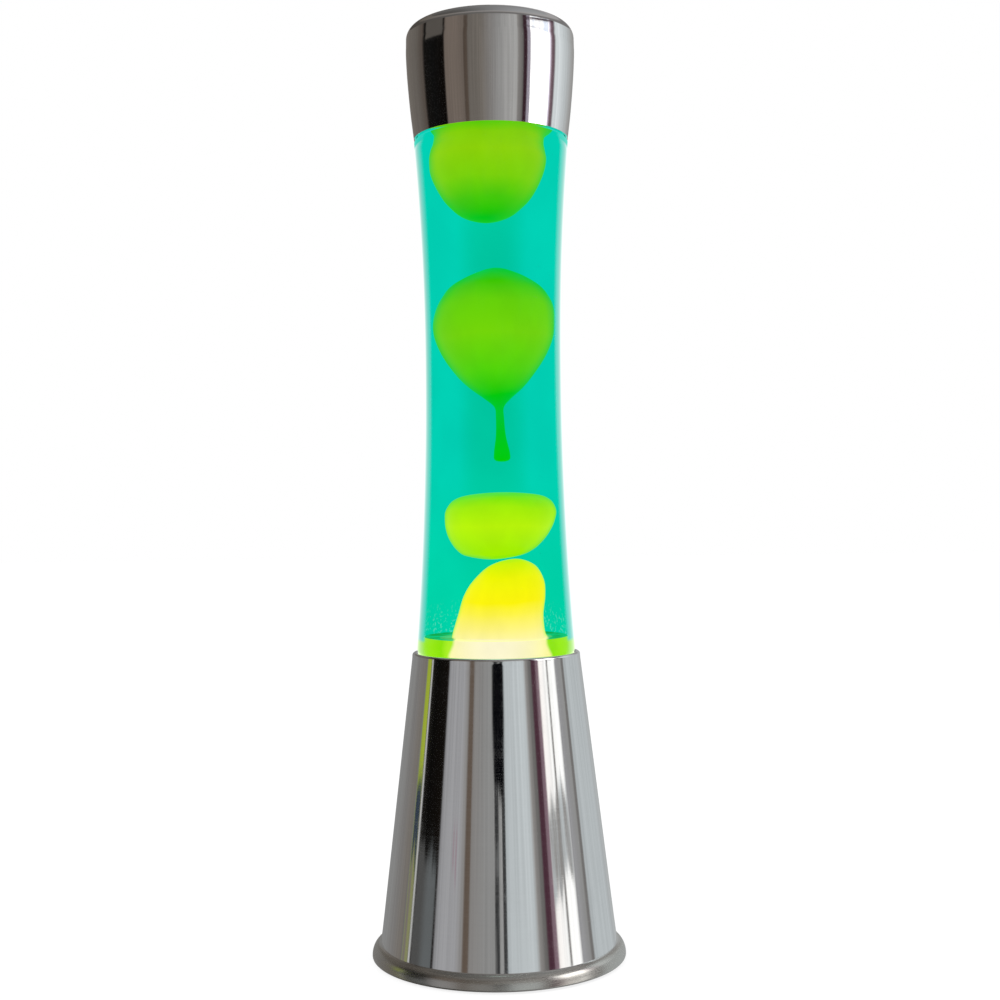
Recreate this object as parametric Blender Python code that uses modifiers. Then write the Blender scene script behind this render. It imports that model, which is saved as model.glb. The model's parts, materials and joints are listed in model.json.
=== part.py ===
"""Lava lamp: glass bottle of liquid and wax on a polished metal cone, with its bulb, holder, cord, switch and plug.

Metres, +Z up. The lamp's axis is Z, the origin is at the centre of the plane that it stands on, and the
cord leaves at the rear (+Y).
"""

import math

import bmesh
import bpy
from mathutils import Vector

MM = 0.001
FULL_TURN = 2 * math.pi
MERGE = 0.00001

# Steps around a turned piece, by its size.
SCREW_STEPS = 8
COARSE, MEDIUM, FINE = 10, 16, 36
WAX_SIDES = 16

# Base: a spun metal cone with a rolled rim above and a flared, hemmed foot below.
LIP_TOP = 131.4
LIP_OUTER_R = 36.2
LIP_BEAD_R = 1.25
CREASE_R = 50.85
CREASE_Z = 7.3
FOOT_R = 54.6
HEM_Z = 1.8
HEM_R = 1.0
SHEET = 0.8

# Bottle: an hourglass that hangs by its widest band in the base's rim.
WAIST_R = 29.2
WAIST_Z = 258.0
BAND_R = 34.1
BAND_Z = 132.6
SHOULDER_R = 33.15
SHOULDER_Z = 350.8
GLASS = 1.8
BOTTLE_FLOOR_Z = 104.5
HEEL_R = 30.5
HEEL_ARC = 5.0
NECK_R = 13.0
NECK_BORE_R = 8.5
NECK_TOP = 383.7
SHOULDER_INNER_Z = 371.5
LIQUID_LEVEL = 378.0
CHANNEL_X = 3.3
CLOSURE_TOP = 385.3
CLOSURE_R = 15.0
CLOSURE_WALL = 0.35
SKIRT_Z = 380.3
FLUTES = 21
FLUTE_DEPTH = 0.025
LINER_R = 12.2
GAP = 0.3

# Cap.
CAP_RIM_Z = 352.2
CAP_RIM_R = 33.2
CAP_TOP = 400.0
CAP_TOP_R = 36.3
CAP_CORNER = 4.3

# Wax, as (height, offset of the centre along X, radius) from top to bottom.
WAX_TOP = (
    (364.0, 0.0, 0.0), (361.5, 0.0, 17.0), (357.6, 0.0, 24.6), (353.5, -0.8, 22.8), (349.0, -1.5, 24.3),
    (343.0, -1.6, 25.3), (336.8, -1.9, 24.2), (329.0, -2.0, 20.4), (323.8, -2.2, 16.2), (319.0, -2.4, 9.8),
    (316.7, -2.2, 0.0),
)
WAX_BALLOON = (
    (297.0, 1.5, 0.0), (294.4, 1.6, 9.5), (289.2, 1.3, 18.8), (284.0, 1.3, 23.2), (278.9, 1.0, 25.5),
    (272.4, 0.4, 26.3), (265.9, 0.4, 25.4), (258.1, 0.5, 21.9), (250.3, 0.7, 16.4), (245.1, 1.2, 11.5),
    (240.5, 1.8, 5.8), (236.8, 2.4, 2.1), (232.2, 2.7, 1.8), (224.4, 3.0, 2.2), (217.0, 3.4, 3.5),
    (213.2, 3.3, 0.0),
)
WAX_LOW = (
    (200.2, 3.4, 0.0), (199.4, 3.6, 15.4), (196.7, 3.1, 21.2), (192.4, 2.7, 23.8), (188.1, 2.2, 23.8),
    (183.7, 1.5, 22.3), (179.4, 0.8, 19.5), (175.5, 0.0, 15.4), (172.9, -1.0, 10.4), (172.0, -1.5, 0.0),
)
MOUND = (
    (171.2, 9.0, 0.0), (168.6, 7.8, 9.3), (162.5, 6.3, 14.9), (155.8, 4.6, 18.2), (147.4, 3.8, 19.9),
    (139.5, 3.0, 21.8), (137.5, 2.7, 23.4), (137.4, 0.5, 31.3),
)
POOL_Z = 137.5
COIL_R = 25.5
COIL_MINOR_R = 2.0
COIL_Z = 110.8
COIL_TURNS = 20
WIRE_R = 0.4

# Bottom cover, pads and lampholder.
COVER_R = 52.8
COVER_Z = 3.1
COVER_T = 1.5
PAD_TOP = 2.8
PAD_RING = 42.0
VENTS = 10
VENT_RING = 34.0
BRACKET_SCREW_X = 19.5
CLAMP_SCREW_X = 7.5
PILOT_R = 1.6
PLATE_Z = 17.0
HOLDER_R = 13.5
HOLDER_FLOOR = 22.3
HOLDER_TOP = 50.0
HOLDER_BASE_Z = 18.3
STEM_R = 5.0
STEM_BORE_R = 3.0
STEM_Z = 11.5
THREAD_PITCH = 2.82
THREADS = 4
SLEEVE_Z = 33.0

# Bulb: reflector lamp, 39 mm across, with a 14 mm screw cap.
BULB_R = 19.5
BULB_TOP = 92.6
DOME_Z = 71.0
NECK_Z = 46.2
BULB_GLASS = 0.7
TIP_Z = 26.6

# Cord, laid in a flat coil behind the lamp, then the switch and the plug.
CORD_R = 2.6
CORD_PITCH = 5.6
EXIT_Z = 18.0
CLAMP_Y = 28.0
COIL_CENTRE_Y = 104.0
COIL_OUTER = 38.0
CORD_LOOPS = 3
SWITCH = Vector((-2.0, 158.0, 8.6))
SWITCH_SIZE = Vector((56.0, 22.0, 17.0))
SPLIT_Z = 8.0
PLUG = Vector((-4.0, 188.0, 7.0))
PIN_SPACING = 18.6

FINISHES = {
    "polished_metal": ((0.62, 0.62, 0.61), 0.08, 1.0, 1.0),
    "clear_glass": ((0.80, 0.90, 0.88), 0.03, 0.0, 0.3),
    "teal_liquid": ((0.0, 0.63, 0.45), 0.05, 0.0, 0.5),
    "wax": ((0.35, 0.72, 0.02), 0.35, 0.0, 1.0),
    "steel": ((0.55, 0.55, 0.54), 0.35, 1.0, 1.0),
    "brass": ((0.75, 0.58, 0.28), 0.30, 1.0, 1.0),
    "closure_metal": ((0.80, 0.80, 0.78), 0.30, 1.0, 1.0),
    "liner": ((0.85, 0.85, 0.80), 0.60, 0.0, 1.0),
    "black_plastic": ((0.02, 0.02, 0.02), 0.45, 0.0, 1.0),
    "foam": ((0.03, 0.03, 0.03), 0.90, 0.0, 1.0),
    "bulb_glass": ((0.92, 0.92, 0.90), 0.05, 0.0, 0.4),
    "brown_wire": ((0.20, 0.07, 0.03), 0.50, 0.0, 1.0),
    "blue_wire": ((0.03, 0.10, 0.40), 0.50, 0.0, 1.0),
}


def clear_scene():
    for obj in list(bpy.data.objects):
        bpy.data.objects.remove(obj, do_unlink=True)


def new_collection(name):
    made = bpy.data.collections.new(name)
    bpy.context.scene.collection.children.link(made)
    return made


clear_scene()
LAMP = new_collection("lava_lamp")
CUTTERS = new_collection("cutters")


def material(name):
    found = bpy.data.materials.get(name)
    if found:
        return found
    color, roughness, metallic, alpha = FINISHES[name]
    made = bpy.data.materials.new(name)
    made.use_nodes = True
    shader = made.node_tree.nodes["Principled BSDF"]
    shader.inputs["Base Color"].default_value = (*color, 1.0)
    shader.inputs["Roughness"].default_value = roughness
    shader.inputs["Metallic"].default_value = metallic
    shader.inputs["Alpha"].default_value = alpha
    return made


def place(name, data, finish):
    """Puts the data in the lamp's collection, or among the cutters when it has no finish."""
    obj = bpy.data.objects.new(name, data)
    if finish:
        LAMP.objects.link(obj)
        data.materials.append(material(finish))
    else:
        CUTTERS.objects.link(obj)
        obj.hide_render = True
        obj.display_type = "WIRE"
    return obj


def pivot(name, at):
    """An empty on a joint's axis, which carries the pieces that move with it."""
    empty = bpy.data.objects.new(name, None)
    empty.location = Vector(at) * MM
    LAMP.objects.link(empty)
    return empty


def hang(obj, empty):
    obj.parent = empty
    obj.matrix_parent_inverse = empty.matrix_basis.inverted()


# ---------- Shape tools. Every length they take is in millimetres. ----------


def arc(centre_r, centre_z, radius, start, end, count):
    """Points on an arc, with angles in degrees from the outward direction, counted towards +Z."""
    angles = (math.radians(start + (end - start) * i / (count - 1)) for i in range(count))
    return [(centre_r + radius * math.cos(a), centre_z + radius * math.sin(a)) for a in angles]


def turned(name, outline, steps, finish, at=(0, 0), closed=True):
    """Turns (radius, height) points about Z. The outline runs down the outer side, then up the inner one."""
    mesh = bpy.data.meshes.new(name)
    shape = bmesh.new()
    verts = [shape.verts.new((r * MM, 0, z * MM)) for r, z in outline]
    for first, second in zip(verts, verts[1:]):
        shape.edges.new((first, second))
    if closed:
        shape.edges.new((verts[-1], verts[0]))
    shape.to_mesh(mesh)
    shape.free()
    obj = place(name, mesh, finish)
    obj.location = (at[0] * MM, at[1] * MM, 0)
    screw = obj.modifiers.new("turn", "SCREW")
    screw.steps = steps
    screw.render_steps = steps
    screw.use_merge_vertices = True
    screw.merge_threshold = MERGE
    screw.use_smooth_shade = True
    return obj


def solid_turned(name, outline, steps, finish, at=(0, 0)):
    """As turned, for an outline that starts and ends on the axis."""
    return turned(name, outline, steps, finish, at, closed=False)


def cylinder(name, radius, low, high, steps, finish, at=(0, 0)):
    mesh = bpy.data.meshes.new(name)
    shape = bmesh.new()
    size = radius * MM
    bmesh.ops.create_cone(shape, cap_ends=True, segments=steps, radius1=size, radius2=size, depth=(high - low) * MM)
    bmesh.ops.translate(shape, vec=(0, 0, (low + high) / 2 * MM), verts=shape.verts)
    shape.to_mesh(mesh)
    shape.free()
    mesh.shade_smooth()
    mesh.set_sharp_from_angle(angle=math.radians(40))
    obj = place(name, mesh, finish)
    obj.location = (at[0] * MM, at[1] * MM, 0)
    return obj


def loft(name, stations, sides, finish, grow=0.0):
    """A closed skin through level circles, each (height, centre x, radius). Radius 0 makes a pole."""
    shape = bmesh.new()
    rings = []
    for index, (z, x, radius) in enumerate(stations):
        if radius == 0:
            lift = grow if index == 0 else -grow
            rings.append([shape.verts.new((x * MM, 0, (z + lift) * MM))])
            continue
        angles = [FULL_TURN * i / sides for i in range(sides)]
        size = (radius + grow) * MM
        rings.append([
            shape.verts.new((x * MM + size * math.cos(a), size * math.sin(a), z * MM)) for a in angles
        ])
    for upper, lower in zip(rings, rings[1:]):
        for i in range(sides):
            j = (i + 1) % sides
            corners = [upper[i % len(upper)], lower[i % len(lower)], lower[j % len(lower)], upper[j % len(upper)]]
            shape.faces.new(list(dict.fromkeys(corners)))
    if len(rings[-1]) > 1:
        shape.faces.new(rings[-1][::-1])
    mesh = bpy.data.meshes.new(name)
    shape.to_mesh(mesh)
    shape.free()
    mesh.shade_smooth()
    return place(name, mesh, finish)


def box(name, size, centre, finish, bevel=0.0, turn=0.0):
    mesh = bpy.data.meshes.new(name)
    shape = bmesh.new()
    bmesh.ops.create_cube(shape, size=1)
    bmesh.ops.scale(shape, vec=Vector(size) * MM, verts=shape.verts)
    shape.to_mesh(mesh)
    shape.free()
    obj = place(name, mesh, finish)
    obj.location = Vector(centre) * MM
    obj.rotation_euler.y = math.radians(turn)
    if bevel:
        rounding = obj.modifiers.new("rounding", "BEVEL")
        rounding.width = bevel * MM
        rounding.segments = 2
    return obj


def wire(name, points, radius, finish, cyclic=False, resolution=1):
    """A round wire through the points. Resolution 0 has four sides, and 1 has six."""
    curve = bpy.data.curves.new(name, "CURVE")
    curve.dimensions = "3D"
    curve.bevel_depth = radius * MM
    curve.bevel_resolution = resolution
    curve.use_fill_caps = True
    spline = curve.splines.new("POLY")
    spline.points.add(len(points) - 1)
    for point, (x, y, z) in zip(spline.points, points):
        point.co = (x * MM, y * MM, z * MM, 1)
    spline.use_cyclic_u = cyclic
    return place(name, curve, finish)


def flat_plate(name, outline, thickness, finish, centre, tilt=0.0):
    """A plate in the XZ plane with this outline, centred on the given point, with its thickness along Y."""
    curve = bpy.data.curves.new(name, "CURVE")
    curve.dimensions = "2D"
    curve.fill_mode = "BOTH"
    curve.extrude = thickness / 2 * MM
    spline = curve.splines.new("POLY")
    spline.points.add(len(outline) - 1)
    for point, (x, z) in zip(spline.points, outline):
        point.co = (x * MM, z * MM, 0, 1)
    spline.use_cyclic_u = True
    obj = place(name, curve, finish)
    obj.location = Vector(centre) * MM
    obj.rotation_euler = (math.radians(90), math.radians(tilt), 0)
    return obj


def bent_strip(name, path, width, thickness, finish, y=0.0):
    """A strip that follows (x, z) points, with its width along Y."""
    shape = bmesh.new()
    half = width / 2
    near = [shape.verts.new((x * MM, (y - half) * MM, z * MM)) for x, z in path]
    far = [shape.verts.new((x * MM, (y + half) * MM, z * MM)) for x, z in path]
    for i in range(len(path) - 1):
        shape.faces.new((near[i], near[i + 1], far[i + 1], far[i]))
    mesh = bpy.data.meshes.new(name)
    shape.to_mesh(mesh)
    shape.free()
    obj = place(name, mesh, finish)
    skin = obj.modifiers.new("thickness", "SOLIDIFY")
    skin.thickness = thickness * MM
    skin.offset = 0
    return obj


def combine(obj, other, operation):
    step = obj.modifiers.new(operation.lower(), "BOOLEAN")
    step.operation = operation
    step.object = other


def cut(obj, *cutters):
    for cutter in cutters:
        combine(obj, cutter, "DIFFERENCE")


def smooth_path(stops, per_span):
    """Catmull-Rom points through the stops."""
    stops = [Vector(stop) for stop in stops]
    ends = [stops[0] * 2 - stops[1], *stops, stops[-1] * 2 - stops[-2]]
    points = []
    for a, b, c, d in zip(ends, ends[1:], ends[2:], ends[3:]):
        for i in range(per_span):
            t = i / per_span
            points.append(
                0.5 * (2 * b + (c - a) * t + (2 * a - 5 * b + 4 * c - d) * t**2 + (3 * b - a - 3 * c + d) * t**3)
            )
    return [*points, stops[-1]]


def screw(name, at, top, head_r, shank_r, length, finish="steel"):
    """A round-headed screw that points down, with the underside of its head at the height top."""
    head = 1.2
    outline = [
        (0, top + head), (head_r * 0.6, top + head), (head_r, top + head * 0.4), (head_r, top),
        (shank_r, top), (shank_r, top - length), (0, top - length - shank_r),
    ]
    return solid_turned(name, outline, COARSE, finish, at)


# ---------- The bottle and what it holds ----------


def bottle_r(z):
    """Outer radius of the hourglass between its band and its shoulder."""
    if z < WAIST_Z:
        return WAIST_R + (BAND_R - WAIST_R) * ((WAIST_Z - z) / (WAIST_Z - BAND_Z)) ** 2.1
    return WAIST_R + (SHOULDER_R - WAIST_R) * ((z - WAIST_Z) / (SHOULDER_Z - WAIST_Z)) ** 2


def hourglass(inset, high, low, count):
    heights = [high + (low - high) * i / (count - 1) for i in range(count)]
    return [(bottle_r(z) - inset, z) for z in heights]


def bottle_outside():
    neck = [(NECK_R + GAP, NECK_TOP), (NECK_R + GAP, 380.5), (NECK_R, 379.5), (NECK_R, 370.0)]
    shoulder = [(18.0, 366.0), (26.0, 361.5), (30.0, 357.5), (31.4, 354.0), (31.9, 352.2), (32.6, 351.5)]
    heel = arc(HEEL_R - HEEL_ARC, BOTTLE_FLOOR_Z + HEEL_ARC, HEEL_ARC, 0, -90, 4)
    return [
        *neck, *shoulder, *hourglass(0, SHOULDER_Z, BAND_Z, 8), (33.6, 131.0), (32.8, 128.5), *heel,
        (0, BOTTLE_FLOOR_Z + 1.0),
    ]


def bottle_inside(inset):
    """The inner wall from the floor up to the neck, moved in by inset."""
    corner = 3.0
    floor = BOTTLE_FLOOR_Z + 3.0
    heel = arc(HEEL_R - HEEL_ARC, floor + corner, corner, -90, 0, 3)
    wall = [(HEEL_R - GLASS, 113.0), (31.0, 128.0), (31.9, BAND_Z - 0.4)]
    sides = hourglass(GLASS, SHOULDER_Z - 1.5, BAND_Z + 2, 8)[::-1]
    shoulder = [(30.2, 352.6), (28.6, 356.4), (24.9, 359.9), (17.2, 364.2), (10.6, 367.8)]
    return [(0, floor + 0.5), *[(r - inset, z) for r, z in [*heel, *wall, *sides, *shoulder]]]


def make_bottle():
    bore = [(NECK_BORE_R, SHOULDER_INNER_Z), (NECK_BORE_R, NECK_TOP)]
    return solid_turned("bottle", [*bottle_inside(0), *bore, *bottle_outside()], FINE, "clear_glass")


def make_liquid():
    """Fills the bottle above the wax pool, less the wax. A thin channel joins the hollows that the wax leaves."""
    neck_r = NECK_BORE_R - GAP
    wall = [(r, z) for r, z in bottle_inside(GAP)[::-1] if z > POOL_Z + 1 and r > 0]
    outline = [(0, LIQUID_LEVEL), (neck_r, LIQUID_LEVEL), (neck_r, SHOULDER_INNER_Z), *wall]
    outline += [(bottle_r(POOL_Z) - GLASS - GAP, POOL_Z + GAP), (0, POOL_Z + GAP)]
    liquid = solid_turned("liquid", outline, 20, "teal_liquid")
    risen = (*MOUND[:-1], (130.0, 2.7, 23.4))
    shapes = (("top", WAX_TOP), ("balloon", WAX_BALLOON), ("low", WAX_LOW), ("mound", risen))
    cut(liquid, *[loft(f"cut_{name}", shape, WAX_SIDES, None, grow=0.4) for name, shape in shapes])
    cut(liquid, cylinder("cut_channel", 0.6, 165, 322, SCREW_STEPS, None, at=(CHANNEL_X, 0)))
    return liquid


def make_mound():
    """The molten pool, which fills the bottle's lower end around the coil, and the mound that rises from it."""
    notch_r = COIL_R - COIL_MINOR_R - 1.2
    notch_z = COIL_Z + COIL_MINOR_R + 0.8
    wall = [(r, z) for r, z in bottle_inside(GAP) if notch_z + 1 < z < POOL_Z]
    pool = [(z, 0.0, r) for r, z in wall[::-1]]
    pool += [(notch_z, 0.0, HEEL_R - GLASS - GAP), (notch_z, 0.0, notch_r), (BOTTLE_FLOOR_Z + 3.9, 0.0, notch_r)]
    return loft("wax_mound", MOUND + tuple(pool), WAX_SIDES, "wax")


def make_coil():
    per_turn = 5
    count = COIL_TURNS * per_turn
    points = []
    for i in range(count):
        around = FULL_TURN * i / count
        across = FULL_TURN * i / per_turn
        radius = COIL_R + COIL_MINOR_R * math.cos(across)
        points.append((radius * math.cos(around), radius * math.sin(around), COIL_Z + COIL_MINOR_R * math.sin(across)))
    return wire("heating_coil", points, WIRE_R, "steel", cyclic=True, resolution=0)


def make_closure():
    """Crown cap: a shallow metal cup whose skirt is pressed into flutes."""
    outside = [
        (0, CLOSURE_TOP), (12.4, CLOSURE_TOP), (CLOSURE_R - 1, CLOSURE_TOP - 1.2), (CLOSURE_R, SKIRT_Z + 1.6),
        (CLOSURE_R + 0.4, SKIRT_Z),
    ]
    inside = [(r - CLOSURE_WALL, z) for r, z in outside[:2:-1]]
    inside += [(CLOSURE_R - 1 - CLOSURE_WALL, CLOSURE_TOP - 1.4), (12.3, CLOSURE_TOP - CLOSURE_WALL)]
    outline = [*outside, *inside, (0, CLOSURE_TOP - CLOSURE_WALL)]
    cup = solid_turned("closure_form", outline, 2 * FLUTES, "closure_metal")
    graph = bpy.context.evaluated_depsgraph_get()
    mesh = bpy.data.meshes.new_from_object(cup.evaluated_get(graph))
    bpy.data.objects.remove(cup)
    for vert in mesh.vertices:
        if vert.co.z < (SKIRT_Z + 2) * MM:
            ridge = math.cos(FLUTES * math.atan2(vert.co.y, vert.co.x))
            vert.co.xy *= 1 + FLUTE_DEPTH * ridge
    mesh.materials.clear()
    return place("closure", mesh, "closure_metal")


def make_contents():
    """The bottle with everything sealed in it, on its lift-out axis, and the wax on its own pivots."""
    bottle_axis = pivot("bottle_axis", (0, 0, BOTTLE_FLOOR_Z))
    seal = cylinder("closure_liner", LINER_R, NECK_TOP + GAP, NECK_TOP + 0.9, MEDIUM, "liner")
    for piece in (make_bottle(), make_liquid(), make_mound(), make_coil(), make_closure(), seal):
        hang(piece, bottle_axis)
    for name, shape in (("top", WAX_TOP), ("balloon", WAX_BALLOON), ("low", WAX_LOW)):
        axis = pivot(f"wax_{name}_axis", (shape[0][1], 0, shape[0][0]))
        hang(loft(f"wax_{name}", shape, WAX_SIDES, "wax"), axis)


# ---------- Metalwork ----------


def make_cap():
    corner_r = CAP_TOP_R - CAP_CORNER - 0.2
    corner_z = CAP_TOP - CAP_CORNER
    top_arc = arc(corner_r, corner_z, CAP_CORNER, 90, 10, 4)
    side = [(CAP_TOP_R, 388.0), (CAP_TOP_R - 0.5, 378.0), (34.6, 364.0), (CAP_RIM_R, CAP_RIM_Z)]
    inner = [(r - SHEET, z) for r, z in side[::-1]]
    inner_arc = arc(corner_r, corner_z, CAP_CORNER - SHEET, 10, 90, 3)
    outline = [(0, CAP_TOP), *top_arc, *side, *inner, *inner_arc, (0, CAP_TOP - SHEET)]
    cap = solid_turned("cap", outline, FINE, "polished_metal")
    hang(cap, pivot("cap_axis", (0, 0, CAP_RIM_Z)))


def foot_flare(inset, count):
    """Half of the flared foot's section: a quarter of an ellipse from the crease to the foot's widest point."""
    wide = FOOT_R - CREASE_R
    tall = CREASE_Z - HEM_Z
    turns = [math.radians(12 + 78 * i / (count - 1)) for i in range(count)]
    return [(CREASE_R + wide * math.sin(t) - inset, HEM_Z + tall * math.cos(t)) for t in turns]


def make_base():
    bead_r = LIP_OUTER_R - LIP_BEAD_R
    bead_z = LIP_TOP - LIP_BEAD_R
    bead = arc(bead_r, bead_z, LIP_BEAD_R, 215, 0, 6)
    hem = arc(FOOT_R - HEM_R, HEM_Z, HEM_R, -30, -270, 5)
    outside = [*bead, (CREASE_R, CREASE_Z), *foot_flare(0, 4), *hem]
    inside = [*foot_flare(SHEET, 3)[::-1][1:], (CREASE_R - SHEET, CREASE_Z), (LIP_OUTER_R - SHEET, bead_z - 1.3)]
    base = turned("base_shell", [*outside, *inside], FINE, "polished_metal")
    bore = cylinder("cut_cord_exit", 5.3, 30, 60, MEDIUM, None)
    bore.rotation_euler.x = math.radians(-90)
    bore.location.z = EXIT_Z * MM
    cut(base, bore)


def ring_of(count, radius, start=0.0):
    return [
        (radius * math.cos(start + FULL_TURN * i / count), radius * math.sin(start + FULL_TURN * i / count))
        for i in range(count)
    ]


def make_cover():
    cover = cylinder("bottom_cover", COVER_R, COVER_Z, COVER_Z + COVER_T, FINE, "black_plastic")
    holes = [(3.0, at) for at in ring_of(VENTS, VENT_RING, math.pi / VENTS)]
    for side in (-1, 1):
        holes += [(PILOT_R, (side * BRACKET_SCREW_X, 0)), (PILOT_R - 0.2, (side * CLAMP_SCREW_X, CLAMP_Y))]
    for i, (radius, at) in enumerate(holes):
        cut(cover, cylinder(f"cut_cover_{i}", radius, 0, 10, SCREW_STEPS, None, at))
    cylinder("foot_pad_center", 15.0, 0, PAD_TOP, 24, "foam")
    for i, at in enumerate(ring_of(3, PAD_RING, -math.pi / 2)):
        cylinder(f"foot_pad_{i + 1}", 7.0, 0, PAD_TOP, MEDIUM, "foam", at)


# ---------- Lampholder and bulb ----------


def threads(radius, depth, low, count, outward):
    """A ringed profile that stands for a rolled thread, from the top down when outward, else from the bottom up."""
    points = []
    for i in range(count):
        z = low + i * THREAD_PITCH
        points += [(radius - depth, z), (radius, z + THREAD_PITCH / 2)]
    points.append((radius - depth, low + count * THREAD_PITCH))
    return points[::-1] if outward else points


def make_bracket():
    foot = COVER_Z + COVER_T + GAP + 0.5
    top = PLATE_Z + 0.5
    path = [(-24, foot), (-15.5, foot), (-14.5, top), (14.5, top), (15.5, foot), (24, foot)]
    bracket = bent_strip("holder_bracket", path, 16, 1.0, "steel")
    cut(bracket, cylinder("cut_stem", STEM_R + 0.4, 0, 30, COARSE, None))
    for i, x in enumerate((-BRACKET_SCREW_X, BRACKET_SCREW_X)):
        cut(bracket, cylinder(f"cut_foot_{i}", PILOT_R + GAP, 0, 30, COARSE, None, (x, 0)))
        screw(f"bracket_screw_{i + 1}", (x, 0), foot + 0.8, 2.8, 1.3, 3.8)


def make_holder():
    outline = [
        (10.2, HOLDER_TOP), (HOLDER_R - 1, HOLDER_TOP), (HOLDER_R, HOLDER_TOP - 1.5), (HOLDER_R, HOLDER_BASE_Z),
        (STEM_R, HOLDER_BASE_Z), (STEM_R, STEM_Z), (STEM_BORE_R, STEM_Z), (STEM_BORE_R, HOLDER_FLOOR),
        (9.2, HOLDER_FLOOR), (9.2, HOLDER_TOP - 1.5),
    ]
    turned("holder_body", outline, MEDIUM, "black_plastic")
    nut = cylinder("holder_nut", 8.0, 13.2, PLATE_Z - GAP, 6, "steel")
    cut(nut, cylinder("cut_nut", STEM_R + 0.4, 10, 20, MEDIUM, None))
    crest, depth, wall = 7.75, 0.8, 0.4
    outer = threads(crest, depth, SLEEVE_Z, THREADS, outward=True)
    inner = [(r - wall, z) for r, z in threads(crest, depth, SLEEVE_Z, THREADS, outward=False)]
    low, high = HOLDER_FLOOR + wall, HOLDER_FLOOR + 0.9
    foot = [(crest, high), (8.8, high), (8.8, low), (crest - wall, low)]
    turned("holder_sleeve", [*outer, *foot, *inner], MEDIUM, "brass")
    path = [(-5.6, 22.9), (-2.5, 22.9), (0.5, 25.9), (2.6, 25.9), (4.6, 25.0)]
    bent_strip("holder_contact", path, 3.4, 0.4, "brass")


def bulb_glass_line(inset):
    """The reflector's section from the top of its dome down to its neck."""
    dome = arc(0, DOME_Z, BULB_TOP - DOME_Z - inset, 90, 32, 5)
    bowl = [(BULB_R - inset, 77.5), (19.0 - inset, 73.5), (16.0 - inset, 66.5), (11.0 - inset, 59.0)]
    return [*dome, *bowl, (8.0 - inset, 54.0), (7.3 - inset, 51.0), (7.1 - inset, NECK_Z)]


def make_bulb():
    outline = [*bulb_glass_line(0), *bulb_glass_line(BULB_GLASS)[::-1]]
    pieces = [solid_turned("bulb_envelope", outline, 18, "bulb_glass")]
    crest, depth, wall = 6.95, 0.7, 0.35
    outer = [(7.9, 50.5), (7.9, 46.5), *threads(crest, depth, SLEEVE_Z, THREADS, outward=True), (6.1, 31.4), (5.0, 30.0)]
    inner = [(r - wall, z) for r, z in outer[::-1]]
    pieces.append(turned("bulb_screw_shell", [*outer, *inner], MEDIUM, "brass"))
    insulator = [(4.2, 31.4), (4.3, 30.2), (4.9, 29.6), (3.3, 28.6), (0.9, 28.6), (0.9, 31.4)]
    pieces.append(turned("bulb_insulator", insulator, 16, "black_plastic"))
    pieces.append(solid_turned("bulb_tip", [(0, 28.3), (2.8, 28.3), (2.2, 27.1), (0, TIP_Z)], COARSE, "steel"))
    stem = [(0, 60.0), (1.9, 60.0), (2.2, 52.5), (5.9, NECK_Z + 1.2), (5.9, NECK_Z), (0, NECK_Z)]
    pieces.append(solid_turned("bulb_stem", stem, COARSE, "bulb_glass"))
    for i, side in enumerate((-1, 1)):
        path = [(side * 1.2, 0, 60.3), (side * 1.2, 0, 63), (side * 5, 0, 70), (side * 5, 0, 73)]
        pieces.append(wire(f"bulb_lead_{i + 1}", path, 0.3, "steel", resolution=0))
    span = [(x, 1.6 * math.cos(x * math.pi / 10), 73.8) for x in (-5, -3, -1, 1, 3, 5)]
    pieces.append(wire("bulb_filament", span, 0.35, "steel", resolution=0))
    axis = pivot("bulb_axis", (0, 0, TIP_Z))
    for piece in pieces:
        hang(piece, axis)


# ---------- Cord, switch and plug ----------


def cord_route():
    """From the anchorage, out through the grommet and round the coil, then over it to the switch."""
    rest = CORD_R + GAP
    start = [(0, CLAMP_Y - 8, 7.9), (0, CLAMP_Y + 5, 7.9), (0, 37.5, 11.5), (0, 42.5, 17.3), (0, 46, EXIT_Z)]
    start += [(0, 53, EXIT_Z), (-0.6, 56, 17.6), (-4, 61, 14.5), (-11, 66.2, 8.5), (-18, 70.6, 4.2)]
    coil = []
    steps = 14
    for i in range(2, CORD_LOOPS * steps + 1):
        angle = -math.pi / 2 - FULL_TURN * i / steps
        radius = COIL_OUTER - CORD_PITCH * i / steps
        coil.append((radius * math.cos(angle), COIL_CENTRE_Y + radius * math.sin(angle), rest))
    over = rest + 2 * CORD_R + 0.6
    finish = [(-9, 82.8, 4.6), (-16, 88, over), (-24, 98, over), (-32, 112, over), (-41, 124, over)]
    finish += [(-47, 136, 6), (-47, 148, SPLIT_Z + 0.6), (-42, 156, SWITCH.z), (-27, SWITCH.y, SWITCH.z)]
    return smooth_path(start, 2) + [Vector(p) for p in coil] + smooth_path(finish, 2)


def make_cords():
    wire("cord_long", cord_route(), CORD_R, "black_plastic")
    out = SWITCH.x + SWITCH_SIZE.x / 2 - 3
    stops = [(out, SWITCH.y, SWITCH.z), (out + 8, SWITCH.y, SWITCH.z), (out + 18, SWITCH.y + 7, 7.5)]
    stops += [(out + 20, PLUG.y - 9, PLUG.z), (out + 13, PLUG.y - 1, PLUG.z), (out + 3, PLUG.y, PLUG.z)]
    wire("cord_short", smooth_path(stops, 3), CORD_R, "black_plastic")
    for name, side, finish in (("live_wire", -1, "brown_wire"), ("neutral_wire", 1, "blue_wire")):
        stops = [(side * 1.3, CLAMP_Y - 8.6, 7.9), (side * 1.5, 10, 7.9), (side * 1.4, 3, 8.3), (side * 1.35, 0, 11.5)]
        wire(name, smooth_path([*stops, (side * 1.35, 0, 22.2)], 2), 0.9, finish)


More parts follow.
